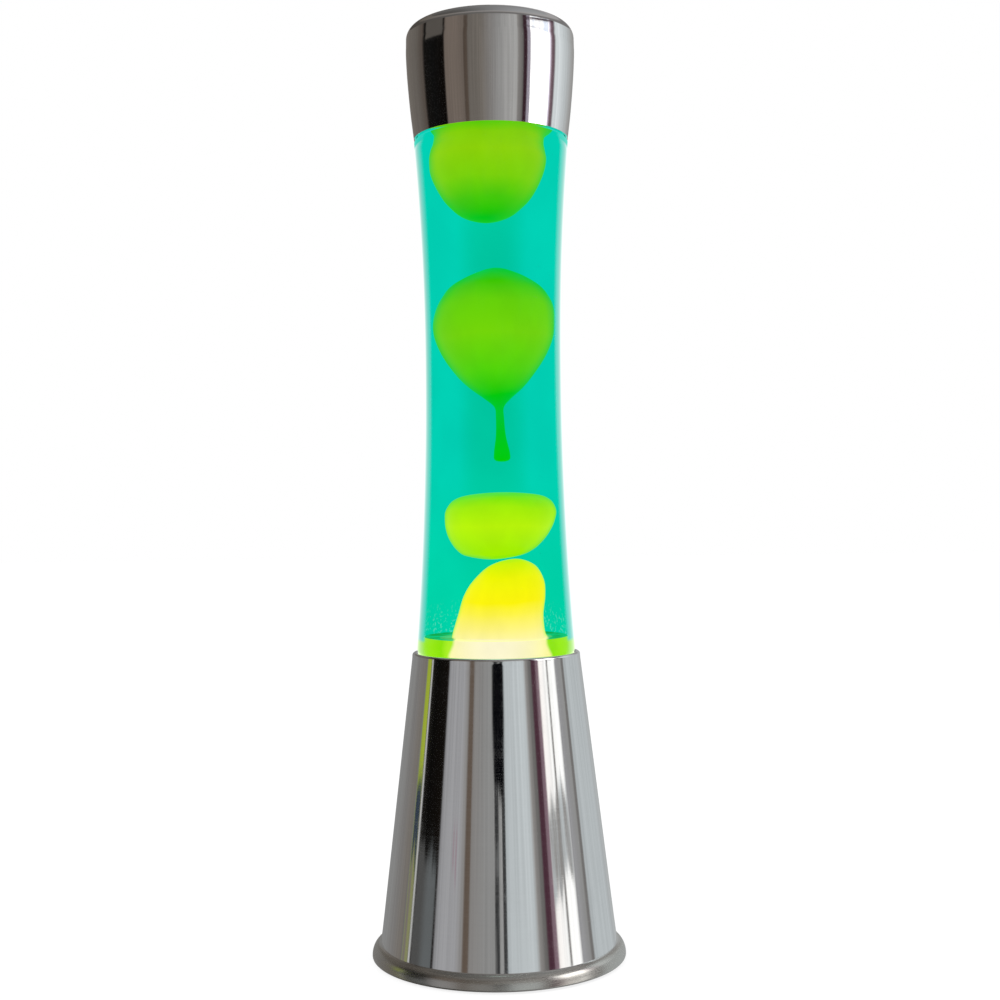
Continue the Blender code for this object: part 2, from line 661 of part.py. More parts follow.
def make_anchorage():
    floor = COVER_Z + COVER_T + GAP + 0.4
    arch = [(r, z + 7.9) for r, z in arc(0, 0, CORD_R + 0.8, 0, 180, 7)]
    path = [(10.5, floor), (3.9, floor), *arch, (-3.9, floor), (-10.5, floor)]
    clamp = bent_strip("cord_clamp", path, 7, 0.8, "steel", y=CLAMP_Y)
    for i, x in enumerate((-CLAMP_SCREW_X, CLAMP_SCREW_X)):
        cut(clamp, cylinder(f"cut_clamp_{i}", PILOT_R, 0, 12, COARSE, None, (x, CLAMP_Y)))
        screw(f"clamp_screw_{i + 1}", (x, CLAMP_Y), floor + 0.7, 2.2, 1.1, 3.4)


def make_grommet():
    """Flanged bush in the base's wall. It's turned about Z, then laid along Y."""
    wall_y = 48.9
    outline = [
        (CORD_R + GAP, wall_y + 3.9), (5.4, wall_y + 3.9), (6.8, wall_y + 1.9), (5.0, wall_y + 1.9),
        (5.0, wall_y - 2.0), (6.2, wall_y - 2.0), (5.8, wall_y - 3.4), (CORD_R + GAP, wall_y - 3.4),
    ]
    grommet = turned("cord_grommet", outline, MEDIUM, "black_plastic")
    grommet.rotation_euler.x = math.radians(-90)
    grommet.location.z = EXIT_Z * MM


def hollow_half(name, low, high, inner_low, inner_high):
    """One half of the switch's case: a rounded block with a box-shaped hollow and a cord hole at each end."""
    size = (SWITCH_SIZE.x, SWITCH_SIZE.y, high - low)
    half = box(name, size, (SWITCH.x, SWITCH.y, (low + high) / 2), "black_plastic", bevel=1.4)
    room = (SWITCH_SIZE.x - 16, SWITCH_SIZE.y - 4, inner_high - inner_low)
    hollow = box(f"cut_{name}", room, (SWITCH.x, SWITCH.y, (inner_low + inner_high) / 2), None)
    bore = cylinder(f"cut_bore_{name}", CORD_R + GAP, -40, 40, COARSE, None)
    bore.rotation_euler.y = math.radians(90)
    bore.location = SWITCH * MM
    cut(half, hollow, bore)
    return half


def make_switch():
    bottom = hollow_half("switch_case_bottom", 0.3, SPLIT_Z + 0.3, 2.3, 12)
    top = hollow_half("switch_case_top", SPLIT_Z + 0.6, SWITCH_SIZE.z + 0.3, 5, SWITCH_SIZE.z - 1.7)
    cut(top, box("cut_rocker_slot", (16.5, 9.2, 20), (SWITCH.x, SWITCH.y, SWITCH_SIZE.z), None))
    for i, x in enumerate((-24.5, 24.5)):
        at = (SWITCH.x + x, SWITCH.y + 7.6)
        for half in (bottom, top):
            cut(half, cylinder(f"cut_screw_{i}_{half.name}", 1.5, -1, 15, SCREW_STEPS, None, at))
        cut(bottom, cylinder(f"cut_head_{i}", 2.6, -1, 2.6, SCREW_STEPS, None, at))
        case_screw(f"switch_screw_{i + 1}", at)
    for i, x in enumerate((-14, 14)):
        box(f"switch_terminal_{i + 1}", (5, 8, 5), (SWITCH.x + x, SWITCH.y, 5.2), "brass", bevel=0.5)
    rocker_centre = (SWITCH.x, SWITCH.y, SWITCH_SIZE.z - 0.6)
    outline = [(-7.4, 1.6), (-6.8, 2.6), (0, 1.5), (6.8, 2.6), (7.4, 1.6), (5.2, -3.4), (0, -5.6), (-5.2, -3.4)]
    rocker = flat_plate("switch_rocker", outline, 8.4, "black_plastic", rocker_centre, tilt=10)
    hang(rocker, pivot("rocker_axis", rocker_centre))


def case_screw(name, at):
    """Screw that holds the case together from below, with its head in the underside."""
    outline = [(0, 13.8), (1.1, 13.0), (1.1, 2.3), (2.2, 2.3), (2.2, 0.9), (0, 0.9)]
    solid_turned(name, outline, SCREW_STEPS, "steel", at)


def make_plug():
    body = box("plug_body", (24, 34, 13.4), PLUG, "black_plastic", bevel=3.0)
    outline = [(0, 34), (3.9, 34), (5.4, 10), (5.4, 6), (0, 6)]
    relief = solid_turned("plug_relief", outline, MEDIUM, None)
    bore = cylinder("cut_plug_bore", CORD_R + GAP, 15, 40, COARSE, None)
    for piece in (relief, bore):
        piece.rotation_euler.y = math.radians(90)
        piece.location = PLUG * MM
    combine(body, relief, "UNION")
    cut(body, bore)
    for i, side in enumerate((-1, 1)):
        y = PLUG.y + side * PIN_SPACING / 2
        seat = cylinder(f"cut_pin_{i}", 2.0 + GAP, 2, 40, COARSE, None)
        pin = solid_turned(f"plug_pin_{i + 1}", [(0, 31), (1.2, 31), (2.0, 29.6), (2.0, 4), (0, 4)], COARSE, "brass")
        for piece in (seat, pin):
            piece.rotation_euler.y = math.radians(-90)
            piece.location = Vector((PLUG.x, y, PLUG.z)) * MM
        cut(body, seat)


make_contents()
make_cap()
make_base()
make_cover()
make_bracket()
make_holder()
make_bulb()
make_cords()
make_anchorage()
make_grommet()
make_switch()
make_plug()
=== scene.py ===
"""The look of the lava lamp over its CAD frame: polished metal, glass, lit liquid, wax, cord and switch."""

import json
import math

import bmesh
import bpy
from mathutils import Matrix, Vector

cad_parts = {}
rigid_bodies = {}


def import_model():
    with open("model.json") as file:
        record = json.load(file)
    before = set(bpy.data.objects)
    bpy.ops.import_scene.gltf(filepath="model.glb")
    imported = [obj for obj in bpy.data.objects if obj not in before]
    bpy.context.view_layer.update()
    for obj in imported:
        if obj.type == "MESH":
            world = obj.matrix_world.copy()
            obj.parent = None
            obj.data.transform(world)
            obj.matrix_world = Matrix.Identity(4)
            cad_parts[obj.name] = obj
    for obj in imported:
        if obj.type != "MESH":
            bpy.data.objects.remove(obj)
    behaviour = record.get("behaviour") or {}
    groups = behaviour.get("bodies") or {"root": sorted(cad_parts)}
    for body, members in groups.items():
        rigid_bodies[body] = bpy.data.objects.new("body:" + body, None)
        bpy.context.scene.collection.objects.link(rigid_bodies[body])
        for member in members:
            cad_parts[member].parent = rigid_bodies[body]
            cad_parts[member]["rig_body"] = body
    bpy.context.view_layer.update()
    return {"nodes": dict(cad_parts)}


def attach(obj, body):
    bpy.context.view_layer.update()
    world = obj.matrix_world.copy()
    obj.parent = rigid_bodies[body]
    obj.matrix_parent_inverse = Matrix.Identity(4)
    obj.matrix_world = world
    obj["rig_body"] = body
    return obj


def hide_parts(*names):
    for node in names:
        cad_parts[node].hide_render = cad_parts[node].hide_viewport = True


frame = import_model()

MM = 0.001
FULL_TURN = 2 * math.pi
AXIS = 0.0001

# Steps around the turned pieces, the wax and the cords.
ROUND = 160
WAX_SIDES = 96
CORD_SIDES = 18

# The same driving sizes as the frame's, in millimetres.
LIP_TOP = 131.4
LIP_R = 36.2
BEAD_R = 1.25
CREASE_R = 50.85
CREASE_Z = 7.3
FOOT_R = 54.6
HEM_Z = 1.8
HEM_R = 1.0
SHEET = 0.8
CORD_EXIT_Z = 18.0
CORD_EXIT_R = 5.3
WAIST_R = 29.2
WAIST_Z = 258.0
BAND_R = 34.1
BAND_Z = 132.6
SHOULDER_R = 33.15
SHOULDER_Z = 350.8
GLASS = 1.8
FLOOR_Z = 104.5
HEEL_R = 30.5
HEEL_ARC = 5.0
NECK_R = 13.0
BORE_R = 8.5
NECK_TOP = 383.7
GAP = 0.3
CAP_RIM_Z = 352.2
CAP_RIM_R = 33.2
CAP_TOP = 400.0
CAP_R = 36.3
CAP_CORNER = 5.0
POOL_Z = 137.5
LIQUID_TOP = 378.0


# ---------- Node and material tools ----------


def srgb(red, green, blue):
    """Linear colour from eight-bit values."""
    linear = []
    for value in (red, green, blue):
        c = value / 255
        linear.append(c / 12.92 if c <= 0.04045 else ((c + 0.055) / 1.055) ** 2.4)
    return (*linear, 1.0)


class Tree:
    """Short ways to add linked nodes to a material or a world."""

    def __init__(self, owner):
        owner.use_nodes = True
        self.tree = owner.node_tree
        self.tree.nodes.clear()

    def add(self, kind, inputs=None, **settings):
        made = self.tree.nodes.new("ShaderNode" + kind)
        for key, value in settings.items():
            setattr(made, key, value)
        for key, value in (inputs or {}).items():
            if isinstance(value, bpy.types.NodeSocket):
                self.tree.links.new(value, made.inputs[key])
            else:
                made.inputs[key].default_value = value
        return made

    def calc(self, operation, first, second=0.0, clamp=False):
        return self.add("Math", {0: first, 1: second}, operation=operation, use_clamp=clamp).outputs[0]

    def product(self, *factors):
        made = factors[0]
        for factor in factors[1:]:
            made = self.calc("MULTIPLY", made, factor)
        return made

    def spread(self, value, low, high, to_low=0.0, to_high=1.0, smooth=True):
        """Maps low..high onto to_low..to_high, held at both ends."""
        kind = "SMOOTHSTEP" if smooth else "LINEAR"
        inputs = {"Value": value, "From Min": low, "From Max": high, "To Min": to_low, "To Max": to_high}
        return self.add("MapRange", inputs, interpolation_type=kind).outputs["Result"]

    def band(self, value, middle, half):
        """1 within half of the middle and 0 outside, with a soft edge."""
        off = self.calc("ABSOLUTE", self.calc("SUBTRACT", value, middle))
        return self.spread(off, half * 0.75, half * 1.1, 1.0, 0.0)

    def between(self, value, low, high, soft):
        """1 from low to high and 0 outside, changing over soft on each side of both."""
        rises = self.spread(value, low - soft, low + soft)
        return self.product(rises, self.spread(value, high - soft, high + soft, 1.0, 0.0))

    def ramp(self, value, stops, low, high):
        """Colours along value, from (position, colour) stops between low and high."""
        factor = self.spread(value, low, high, smooth=False)
        made = self.add("ValToRGB", {"Fac": factor})
        made.color_ramp.interpolation = "LINEAR"
        elements = made.color_ramp.elements
        stops = sorted(stops)
        while len(elements) < len(stops):
            elements.new(1.0)
        for element, (position, color) in zip(elements, stops):
            element.position = (position - low) / (high - low)
            element.color = color
        return made.outputs["Color"]

    def mix(self, factor, first, second, blend="MIX"):
        made = self.add("Mix", {"Factor": factor}, data_type="RGBA", blend_type=blend)
        for socket, value in (("A", first), ("B", second)):
            target = next(i for i in made.inputs if i.name == socket and i.type == "RGBA")
            if isinstance(value, bpy.types.NodeSocket):
                self.tree.links.new(value, target)
            else:
                target.default_value = value
        return next(o for o in made.outputs if o.type == "RGBA")

    def scaled(self, color, factor):
        """A colour with its three channels multiplied by one factor."""
        grey = self.add("CombineXYZ", {0: factor, 1: factor, 2: factor}).outputs[0]
        return self.mix(1.0, color, grey, blend="MULTIPLY")

    def noise(self, scale, stretch=(1, 1, 1), detail=3.0, rough=0.5):
        where = self.add("TexCoord").outputs["Object"]
        mapped = self.add("Mapping", {"Vector": where, "Scale": stretch}).outputs[0]
        inputs = {"Vector": mapped, "Scale": scale, "Detail": detail, "Roughness": rough}
        return self.add("TexNoise", inputs).outputs["Fac"]

    def height(self):
        """Height in the piece's own frame, in millimetres."""
        where = self.add("TexCoord").outputs["Object"]
        return self.calc("MULTIPLY", self.add("SeparateXYZ", {0: where}).outputs["Z"], 1 / MM)

    def in_plan(self, vector):
        return self.add("VectorMath", {0: vector, 1: (1, 1, 0)}, operation="MULTIPLY").outputs[0]

    def plan_direction(self, vector):
        return self.add("VectorMath", {0: self.in_plan(vector)}, operation="NORMALIZE").outputs[0]

    def nearness(self, outward, seen):
        """From two directions in plan: 1 on the viewer's side of the axis, and -1 on the far side."""
        return self.add("VectorMath", {0: outward, 1: seen}, operation="DOT_PRODUCT").outputs["Value"]

    def facing(self):
        """1 where the surface faces the viewer, 0 at its edge."""
        return self.calc("SUBTRACT", 1.0, self.add("LayerWeight", {"Blend": 0.5}).outputs["Facing"])

    def finish(self, shader, kind="Material"):
        output = self.add("Output" + kind)
        self.tree.links.new(shader, output.inputs["Surface"])


def shaded(color, factor):
    return (*[min(1.0, c * factor) for c in color[:3]], 1.0)


def surface(
    name, color, rough, metallic=0.0, grain=900.0, stretch=(1, 1, 1),
    shade=0.10, swing=0.06, relief=0.02, **extra,
):
    """A finish with grain, uneven gloss, fine relief and soft patches of wear."""
    made = bpy.data.materials.new(name)
    tree = Tree(made)
    fine = tree.noise(grain, stretch)
    broad = tree.noise(38.0, detail=2.0)
    worn = tree.spread(broad, 0.52, 0.72)
    tone = tree.mix(fine, shaded(color, 1 - shade), shaded(color, 1 + shade))
    tone = tree.mix(tree.product(worn, 0.25), tone, shaded(color, 1 + 2.5 * shade))
    gloss = tree.spread(fine, 0.3, 0.7, rough - swing, rough + swing)
    gloss = tree.calc("ADD", gloss, tree.product(worn, swing))
    bump = tree.add("Bump", {"Strength": 0.6, "Distance": relief * MM, "Height": fine}).outputs[0]
    inputs = {"Base Color": tone, "Roughness": gloss, "Metallic": metallic, "Normal": bump, **extra}
    shader = tree.add("BsdfPrincipled", inputs)
    tree.finish(shader.outputs[0])
    return made


BASE_TINT = (0.90, 0.90, 0.895, 1)
CAP_TINT = (0.88, 0.87, 0.86, 1)
# A darker tone for the flare below the base's crease: painted shade that dims its reflections.
FLARE_SHADE_TONE = (0.61, 0.59, 0.55, 1)
POLISH = 0.05


def polished_metal(name, tint, satin_and_shade_below=-1.0):
    """Mirror-bright spun sheet, with fine rings, faint waves, rub marks, and a rougher, duller lowest part
    whose darker tone is painted shade in its reflections.
    """
    made = bpy.data.materials.new(name)
    tree = Tree(made)
    rings = tree.noise(60.0, (1, 1, 60), detail=4.0)
    waves = tree.noise(16.0, (1, 1, 3), detail=2.0)
    rub = tree.spread(tree.noise(45.0, detail=4.0, rough=0.65), 0.50, 0.75)
    tone = tree.mix(rings, shaded(tint, 0.97), shaded(tint, 1.03))
    tone = tree.mix(tree.product(rub, 0.5), tone, shaded(tint, 0.94))
    gloss = tree.spread(rings, 0.3, 0.7, POLISH - 0.02, POLISH + 0.03)
    gloss = tree.calc("ADD", gloss, tree.product(rub, 0.05))
    # Below the crease: rougher, and darkened with a painted shade tone that dims the flare's reflections.
    satin_and_shade = tree.spread(tree.height(), satin_and_shade_below - 0.4, satin_and_shade_below + 0.2, 1.0, 0.0)
    gloss = tree.calc("ADD", gloss, tree.product(satin_and_shade, 0.2))
    tone = tree.mix(satin_and_shade, tone, FLARE_SHADE_TONE)
    fine = tree.add("Bump", {"Strength": 0.35, "Distance": 0.004 * MM, "Height": rings}).outputs[0]
    bump = {"Strength": 0.5, "Distance": 0.05 * MM, "Height": waves, "Normal": fine}
    normal = tree.add("Bump", bump).outputs[0]
    inputs = {"Base Color": tone, "Roughness": gloss, "Metallic": 1.0, "Normal": normal}
    tree.finish(tree.add("BsdfPrincipled", inputs).outputs[0])
    return made


BLACK = (0, 0, 0, 1)
# The liquid's painted glow, which stands in for the bulb's light: its tones at the sides, in the centre and low
# down.
TEAL_SIDE = srgb(2, 208, 180)
TEAL_CENTRE = srgb(1, 198, 160)
TEAL_LOW = srgb(0, 211, 166)
TEAL_LOW_Z = (150.0, 225.0)
FROTH = srgb(120, 228, 205)
FROTH_Z = (POOL_Z + 1.0, POOL_Z + 17.0)
UNDERSIDE_Z = (145.0, 146.0)


def lit_liquid():
    """Clear on the viewer's side, and glowing with painted light on the far side, so that the wax keeps its own
    colour.
    """
    made = bpy.data.materials.new("teal_liquid_lit")
    tree = Tree(made)
    # Painted glow: side and centre tones by facing, and greener low down.
    across = tree.mix(tree.spread(tree.facing(), 0.80, 1.0), TEAL_SIDE, TEAL_CENTRE)
    low = tree.spread(tree.height(), *TEAL_LOW_Z, 1.0, 0.0)
    tone = tree.mix(tree.product(low, 0.85), across, TEAL_LOW)
    haze = tree.spread(tree.noise(28.0, detail=3.0), 0.3, 0.7, 0.96, 1.03)
    tone = tree.scaled(tone, haze)
    froth = tree.spread(tree.noise(800.0, detail=1.5), 0.56, 0.72, 0.0, 0.5)
    froth = tree.product(froth, tree.spread(tree.height(), *FROTH_Z, 1.0, 0.0))
    tone = tree.mix(froth, tone, FROTH)
    geometry = tree.add("NewGeometry").outputs
    level = tree.calc("ABSOLUTE", tree.add("SeparateXYZ", {0: geometry["True Normal"]}).outputs["Z"])
    low_part = tree.spread(tree.height(), *UNDERSIDE_Z, 1.0, 0.0)
    underside = tree.product(tree.spread(level, 0.6, 0.7), low_part)
    outward = tree.plan_direction(tree.add("TexCoord").outputs["Object"])
    near = tree.nearness(outward, tree.plan_direction(geometry["Incoming"]))
    far_side = tree.spread(near, -0.02, 0.0, 1.0, 0.0)
    alpha = tree.product(far_side, tree.calc("SUBTRACT", 1.0, underside))
    bump = tree.add("Bump", {"Strength": 0.2, "Distance": 0.02 * MM, "Height": haze}).outputs[0]
    inputs = {
        "Base Color": BLACK, "Emission Color": tone, "Emission Strength": 1.0, "Alpha": alpha,
        "Roughness": tree.spread(haze, 0.9, 1.1, 0.1, 0.3), "Specular IOR Level": 0.0, "Normal": bump,
    }
    tree.finish(tree.add("BsdfPrincipled", inputs).outputs[0])
    made.cycles.emission_sampling = "NONE"
    return made


# Painted light in the glass: the liquid's colour at the edges, paling to a painted white highlight at the
# outline, and the pool's lime glow below its level.
LIME_EDGE = srgb(146, 226, 20)
LIME_PALE = srgb(240, 250, 222)
RIM_TONES = (
    (0.00, srgb(232, 252, 248)), (0.17, srgb(174, 221, 213)), (0.24, srgb(138, 211, 198)),
    (0.29, srgb(115, 209, 195)), (0.34, srgb(88, 208, 190)), (0.41, srgb(49, 205, 184)),
    (0.46, srgb(22, 206, 183)), (0.54, srgb(4, 206, 184)),
)
RIM_FADES_Z = (347.0, 349.5)


def bottle_glass():
    """Clear glass whose edges glow with painted light: the liquid's colour, paling out to a painted white
    highlight at the outline.
    """
    made = bpy.data.materials.new("bottle_glass_clear")
    tree = Tree(made)
    facing = tree.facing()
    height = tree.height()
    # Painted edge light: rim tones by facing, and lime below the pool's level.
    inner = tree.calc("MAXIMUM", facing, tree.spread(height, *RIM_FADES_Z, 0.0, 0.5))
    rim = tree.ramp(inner, RIM_TONES, RIM_TONES[0][0], RIM_TONES[-1][0])
    low = tree.spread(height, POOL_Z - 1.5, POOL_Z + 0.5, 1.0, 0.0)
    pale = tree.spread(facing, 0.0, 0.5, 1.0, 0.0, smooth=False)
    lime = tree.mix(tree.calc("POWER", pale, 1.6), LIME_EDGE, LIME_PALE)
    tone = tree.mix(low, rim, lime)
    grime = tree.noise(55.0, (1, 1, 0.35), detail=5.0, rough=0.6)
    film = tree.spread(grime, 0.45, 0.8, 0.0, 0.007)
    edge = tree.spread(facing, 0.35, 0.45, 1.0, 0.0)
    front = tree.calc("SUBTRACT", 1.0, tree.add("NewGeometry").outputs["Backfacing"])
    alpha = tree.product(tree.calc("ADD", edge, film, clamp=True), front)
    above = tree.spread(height, CAP_RIM_Z + 2, CAP_RIM_Z + 4, 0.0, 0.06)
    alpha = tree.calc("ADD", alpha, above, clamp=True)
    bump = tree.add("Bump", {"Strength": 0.15, "Distance": 0.02 * MM, "Height": grime}).outputs[0]
    inputs = {
        "Base Color": BLACK, "Emission Color": tone, "Emission Strength": 1.0, "Alpha": alpha,
        "Roughness": tree.spread(grime, 0.3, 0.7, 0.02, 0.10), "Specular IOR Level": 0.2, "Normal": bump,
    }
    tree.finish(tree.add("BsdfPrincipled", inputs).outputs[0])
    made.cycles.emission_sampling = "NONE"
    return made


# The pool, as seen through the glass, in painted light and shade. Its tones go by nearness, with a painted pale
# glow in front of the mound, and its mottled top, darkened with painted shade, shows behind the mound.
POOL_LIME = (
    (0.20, srgb(150, 228, 30)), (0.50, srgb(150, 232, 12)),
    (0.66, srgb(140, 228, 8)), (0.75, srgb(172, 240, 40)),
)
POOL_PALE = ((0.66, srgb(252, 248, 150)), (1.0, srgb(253, 247, 208)))
POOL_TOP_PALE = srgb(253, 245, 170)
POOL_TOP_SHADE_GREENS = (srgb(16, 158, 60), srgb(8, 188, 112))
POOL_CENTRE_X = 1.9
POOL_CORE = (19.2, 21.0)
POOL_NARROWS = 2.2


def pool_tone(tree, above):
    """Gives the pool its painted light and shade: a bright glow in front of the mound, lime round the sides,
    and painted dark shade on its surface.
    """
    geometry = tree.add("NewGeometry").outputs
    way = tree.add("TexCoord").outputs["Object"]
    outward = tree.plan_direction(way)
    seen = tree.plan_direction(geometry["Incoming"])
    near = tree.nearness(outward, seen)
    turn = tree.add("VectorMath", {0: seen, 1: outward}, operation="CROSS_PRODUCT").outputs[0]
    reach = tree.add("VectorMath", {0: tree.in_plan(way)}, operation="LENGTH").outputs["Value"]
    reach = tree.product(reach, 1 / MM)
    aside = tree.product(tree.add("SeparateXYZ", {0: turn}).outputs["Z"], reach)
    unevenness = tree.product(tree.calc("SUBTRACT", tree.noise(60.0), 0.5), 3.0)
    off = tree.calc("ABSOLUTE", tree.calc("SUBTRACT", aside, POOL_CENTRE_X))
    off = tree.calc("ADD", off, unevenness)
    off = tree.calc("SUBTRACT", off, tree.spread(tree.height(), LIP_TOP - 0.4, POOL_Z, POOL_NARROWS, 0.0))
    core = tree.product(tree.spread(off, *POOL_CORE, 1.0, 0.0), tree.spread(near, 0.0, 0.2))
    lime = tree.ramp(near, POOL_LIME, POOL_LIME[0][0], POOL_LIME[-1][0])
    pale = tree.ramp(near, POOL_PALE, POOL_PALE[0][0], POOL_PALE[-1][0])
    # Painted shade: the pool's top darkened to mottled greens.
    mottled_top_shade = tree.mix(tree.spread(tree.noise(140.0, detail=4.0), 0.35, 0.65), *POOL_TOP_SHADE_GREENS)
    up = tree.spread(tree.add("SeparateXYZ", {0: geometry["True Normal"]}).outputs["Z"], 0.5, 0.8)
    tone = tree.mix(up, tree.mix(core, lime, pale), tree.mix(core, mottled_top_shade, POOL_TOP_PALE))
    beyond_mound = tree.spread(reach, 23.0, 24.5)
    below_level = tree.spread(tree.height(), POOL_Z - 0.2, POOL_Z + 1.0, 1.0, 0.0)
    return tree.mix(tree.calc("MAXIMUM", below_level, beyond_mound), above, tone)


def lit_wax(name, tones, edge, band=(0.05, 0.55), pool=False):
    """Translucent wax, glowing with painted light as if lit from below: tones by height, and a painted edge
    glow where the wax thins towards its outline.
    """
    made = bpy.data.materials.new(name)
    tree = Tree(made)
    stops = [(z, srgb(*levels)) for z, levels in tones]
    mottle = tree.noise(95.0, (1, 1, 0.6), detail=4.0)
    drift = tree.product(tree.calc("SUBTRACT", tree.noise(30.0, detail=2.0), 0.5), 7.0)
    # Painted light: the glow by height as the bulb's light falls, and a painted edge glow by facing.
    core = tree.ramp(tree.calc("ADD", tree.height(), drift), stops, stops[0][0], stops[-1][0])
    edge_glow = tree.spread(tree.facing(), *band, 0.8, 0.0)
    tone = tree.mix(edge_glow, core, srgb(*edge))
    if pool:
        tone = pool_tone(tree, tone)
    tone = tree.scaled(tone, tree.spread(mottle, 0.3, 0.7, 0.97, 1.03))
    bump = tree.add("Bump", {"Strength": 0.3, "Distance": 0.05 * MM, "Height": mottle}).outputs[0]
    inputs = {
        "Base Color": BLACK, "Emission Color": tone, "Emission Strength": 1.0,
        "Roughness": tree.spread(mottle, 0.3, 0.7, 0.35, 0.55), "Specular IOR Level": 0.1, "Normal": bump,
    }
    tree.finish(tree.add("BsdfPrincipled", inputs).outputs[0])
    made.cycles.emission_sampling = "NONE"
    return made


# ---------- Shape tools. Lengths are in millimetres. ----------


def turn_angles(steps):
    """Evenly spread angles of a full turn, in radians."""
    return [FULL_TURN * i / steps for i in range(steps)]


def arc(centre_r, centre_z, radius, start, end, count):
    """Points on an arc. Angles are in degrees from the outward direction, towards +Z."""
    angles = (math.radians(start + (end - start) * i / (count - 1)) for i in range(count))
    return [(centre_r + radius * math.cos(a), centre_z + radius * math.sin(a)) for a in angles]


def linked(name, mesh, look):
    obj = bpy.data.objects.new(name, mesh)
    bpy.context.scene.collection.objects.link(obj)
    mesh.materials.clear()
    mesh.materials.append(look)
    return obj


def finished(shape, name, look, sharp=32):
    """A smooth-shaded object from the mesh being built, creased where it turns by more than sharp degrees."""
    bmesh.ops.recalc_face_normals(shape, faces=shape.faces)
    mesh = bpy.data.meshes.new(name)
    shape.to_mesh(mesh)
    shape.free()
    mesh.shade_smooth()
    mesh.set_sharp_from_angle(angle=math.radians(sharp))
    return linked(name, mesh, look)


def skin(rings, name, look, closed=False, sharp=32):
    """Faces between rings of points. A ring of one point is a pole."""
    shape = bmesh.new()
    rows = [[shape.verts.new(Vector(p) * MM) for p in ring] for ring in rings]
    pairs = list(zip(rows, rows[1:]))
    if closed:
        pairs.append((rows[-1], rows[0]))
    sides = max(len(row) for row in rows)
    for upper, lower in pairs:
        for i in range(sides):
            j = (i + 1) % sides
            loop = ((upper, i), (lower, i), (lower, j), (upper, j))
            corners = [row[k % len(row)] for row, k in loop]
            shape.faces.new(list(dict.fromkeys(corners)))
    return finished(shape, name, look, sharp)


def turned(name, outline, steps, look, sharp=32):
    """Turns (radius, height) points about Z. An outline that starts on the axis also ends there."""
    rings = []
    for r, z in outline:
        if r < AXIS:
            rings.append([(0, 0, z)])
        else:
            rings.append([(r * math.cos(a), r * math.sin(a), z) for a in turn_angles(steps)])
    return skin(rings, name, look, closed=len(rings[0]) > 1, sharp=sharp)


def spline(stops, per_span, ends=None):
    """Catmull-Rom points through the stops. Ends are the points just beyond the first and the last."""
    stops = [Vector(stop) for stop in stops]
    before, after = ends or (stops[0] * 2 - stops[1], stops[-1] * 2 - stops[-2])
    line = [Vector(before), *stops, Vector(after)]
    points = []
    for a, b, c, d in zip(line, line[1:], line[2:], line[3:]):
        for i in range(per_span):
            t = i / per_span
            bend = (2 * a - 5 * b + 4 * c - d) * t**2 + (3 * b - a - 3 * c + d) * t**3
            points.append(0.5 * (2 * b + (c - a) * t + bend))
    return [*points, stops[-1]]


def mirrored(pole, near):
    """The point opposite near, across a pole of the wax, so that the skin closes round."""
    return (near[0], 2 * pole[1] - near[1], -near[2])


def level_rings(stations):
    """Level circles at (height, centre x, radius)."""
    rings = []
    for z, x, r in stations:
        if abs(r) < AXIS:
            rings.append([(x, 0, z)])
        else:
            rings.append([(x + r * math.cos(a), r * math.sin(a), z) for a in turn_angles(WAX_SIDES)])
    return rings


def blob(name, stations, look):
    """A closed drop of wax through round sections between two poles."""
    ends = (mirrored(stations[0], stations[1]), mirrored(stations[-1], stations[-2]))
    return skin(level_rings(spline(stations, 6, ends)), name, look, sharp=80)


def tube(name, points, radius, look):
    """A round tube along the points, with a flat cap at each end."""
    points = [Vector(p) for p in points]
    rings = []
    side = None
    for i, point in enumerate(points):
        ahead = (points[min(i + 1, len(points) - 1)] - points[max(i - 1, 0)]).normalized()
        if side is None:
            side = ahead.orthogonal().normalized()
        side = (side - ahead * side.dot(ahead)).normalized()
        up = ahead.cross(side)
        around = (side * math.cos(a) + up * math.sin(a) for a in turn_angles(CORD_SIDES))
        rings.append([tuple(point + radius * away) for away in around])
    rings = [[tuple(points[0])], *rings, [tuple(points[-1])]]
    return skin(rings, name, look, sharp=40)


def show(obj, body, slot, *nodes):
    """Puts a piece on its body, and hides the CAD nodes that it stands for."""
    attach(obj, body)
    if nodes:
        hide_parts(*nodes)
    return obj


def refined(node, look, slot, bevel):
    """A CAD node welded, with flat areas joined, its edges rounded, and its shading smoothed."""
    source = frame["nodes"][node]
    shape = bmesh.new()
    shape.from_mesh(source.data)
    bmesh.ops.remove_doubles(shape, verts=shape.verts, dist=0.01 * MM)
    bmesh.ops.dissolve_limit(shape, angle_limit=math.radians(1.0), verts=shape.verts, edges=shape.edges)
    obj = finished(shape, node + "_shown", look, sharp=34)
    if bevel:
        rounding = obj.modifiers.new("rounding", "BEVEL")
        rounding.width = bevel * MM
        rounding.segments = 3
        rounding.limit_method = "ANGLE"
        rounding.angle_limit = math.radians(44)
        rounding.harden_normals = False
    return show(obj, source["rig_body"], slot, node)


# ---------- Metal ----------


# How far below the rolled rim's centre the wall starts, outside and inside.
UNDER_BEAD = 1.6
UNDER_BEAD_INSIDE = 1.3
WALL_STEPS = 12


def foot_flare(inset, count):
    """The quarter curve from the crease out to the foot, moved in by inset."""
    wide = FOOT_R - CREASE_R
    tall = CREASE_Z - HEM_Z
    turns = [math.radians(12 + 78 * i / (count - 1)) for i in range(count)]
    return [(CREASE_R + wide * math.sin(t) - inset, HEM_Z + tall * math.cos(t)) for t in turns]


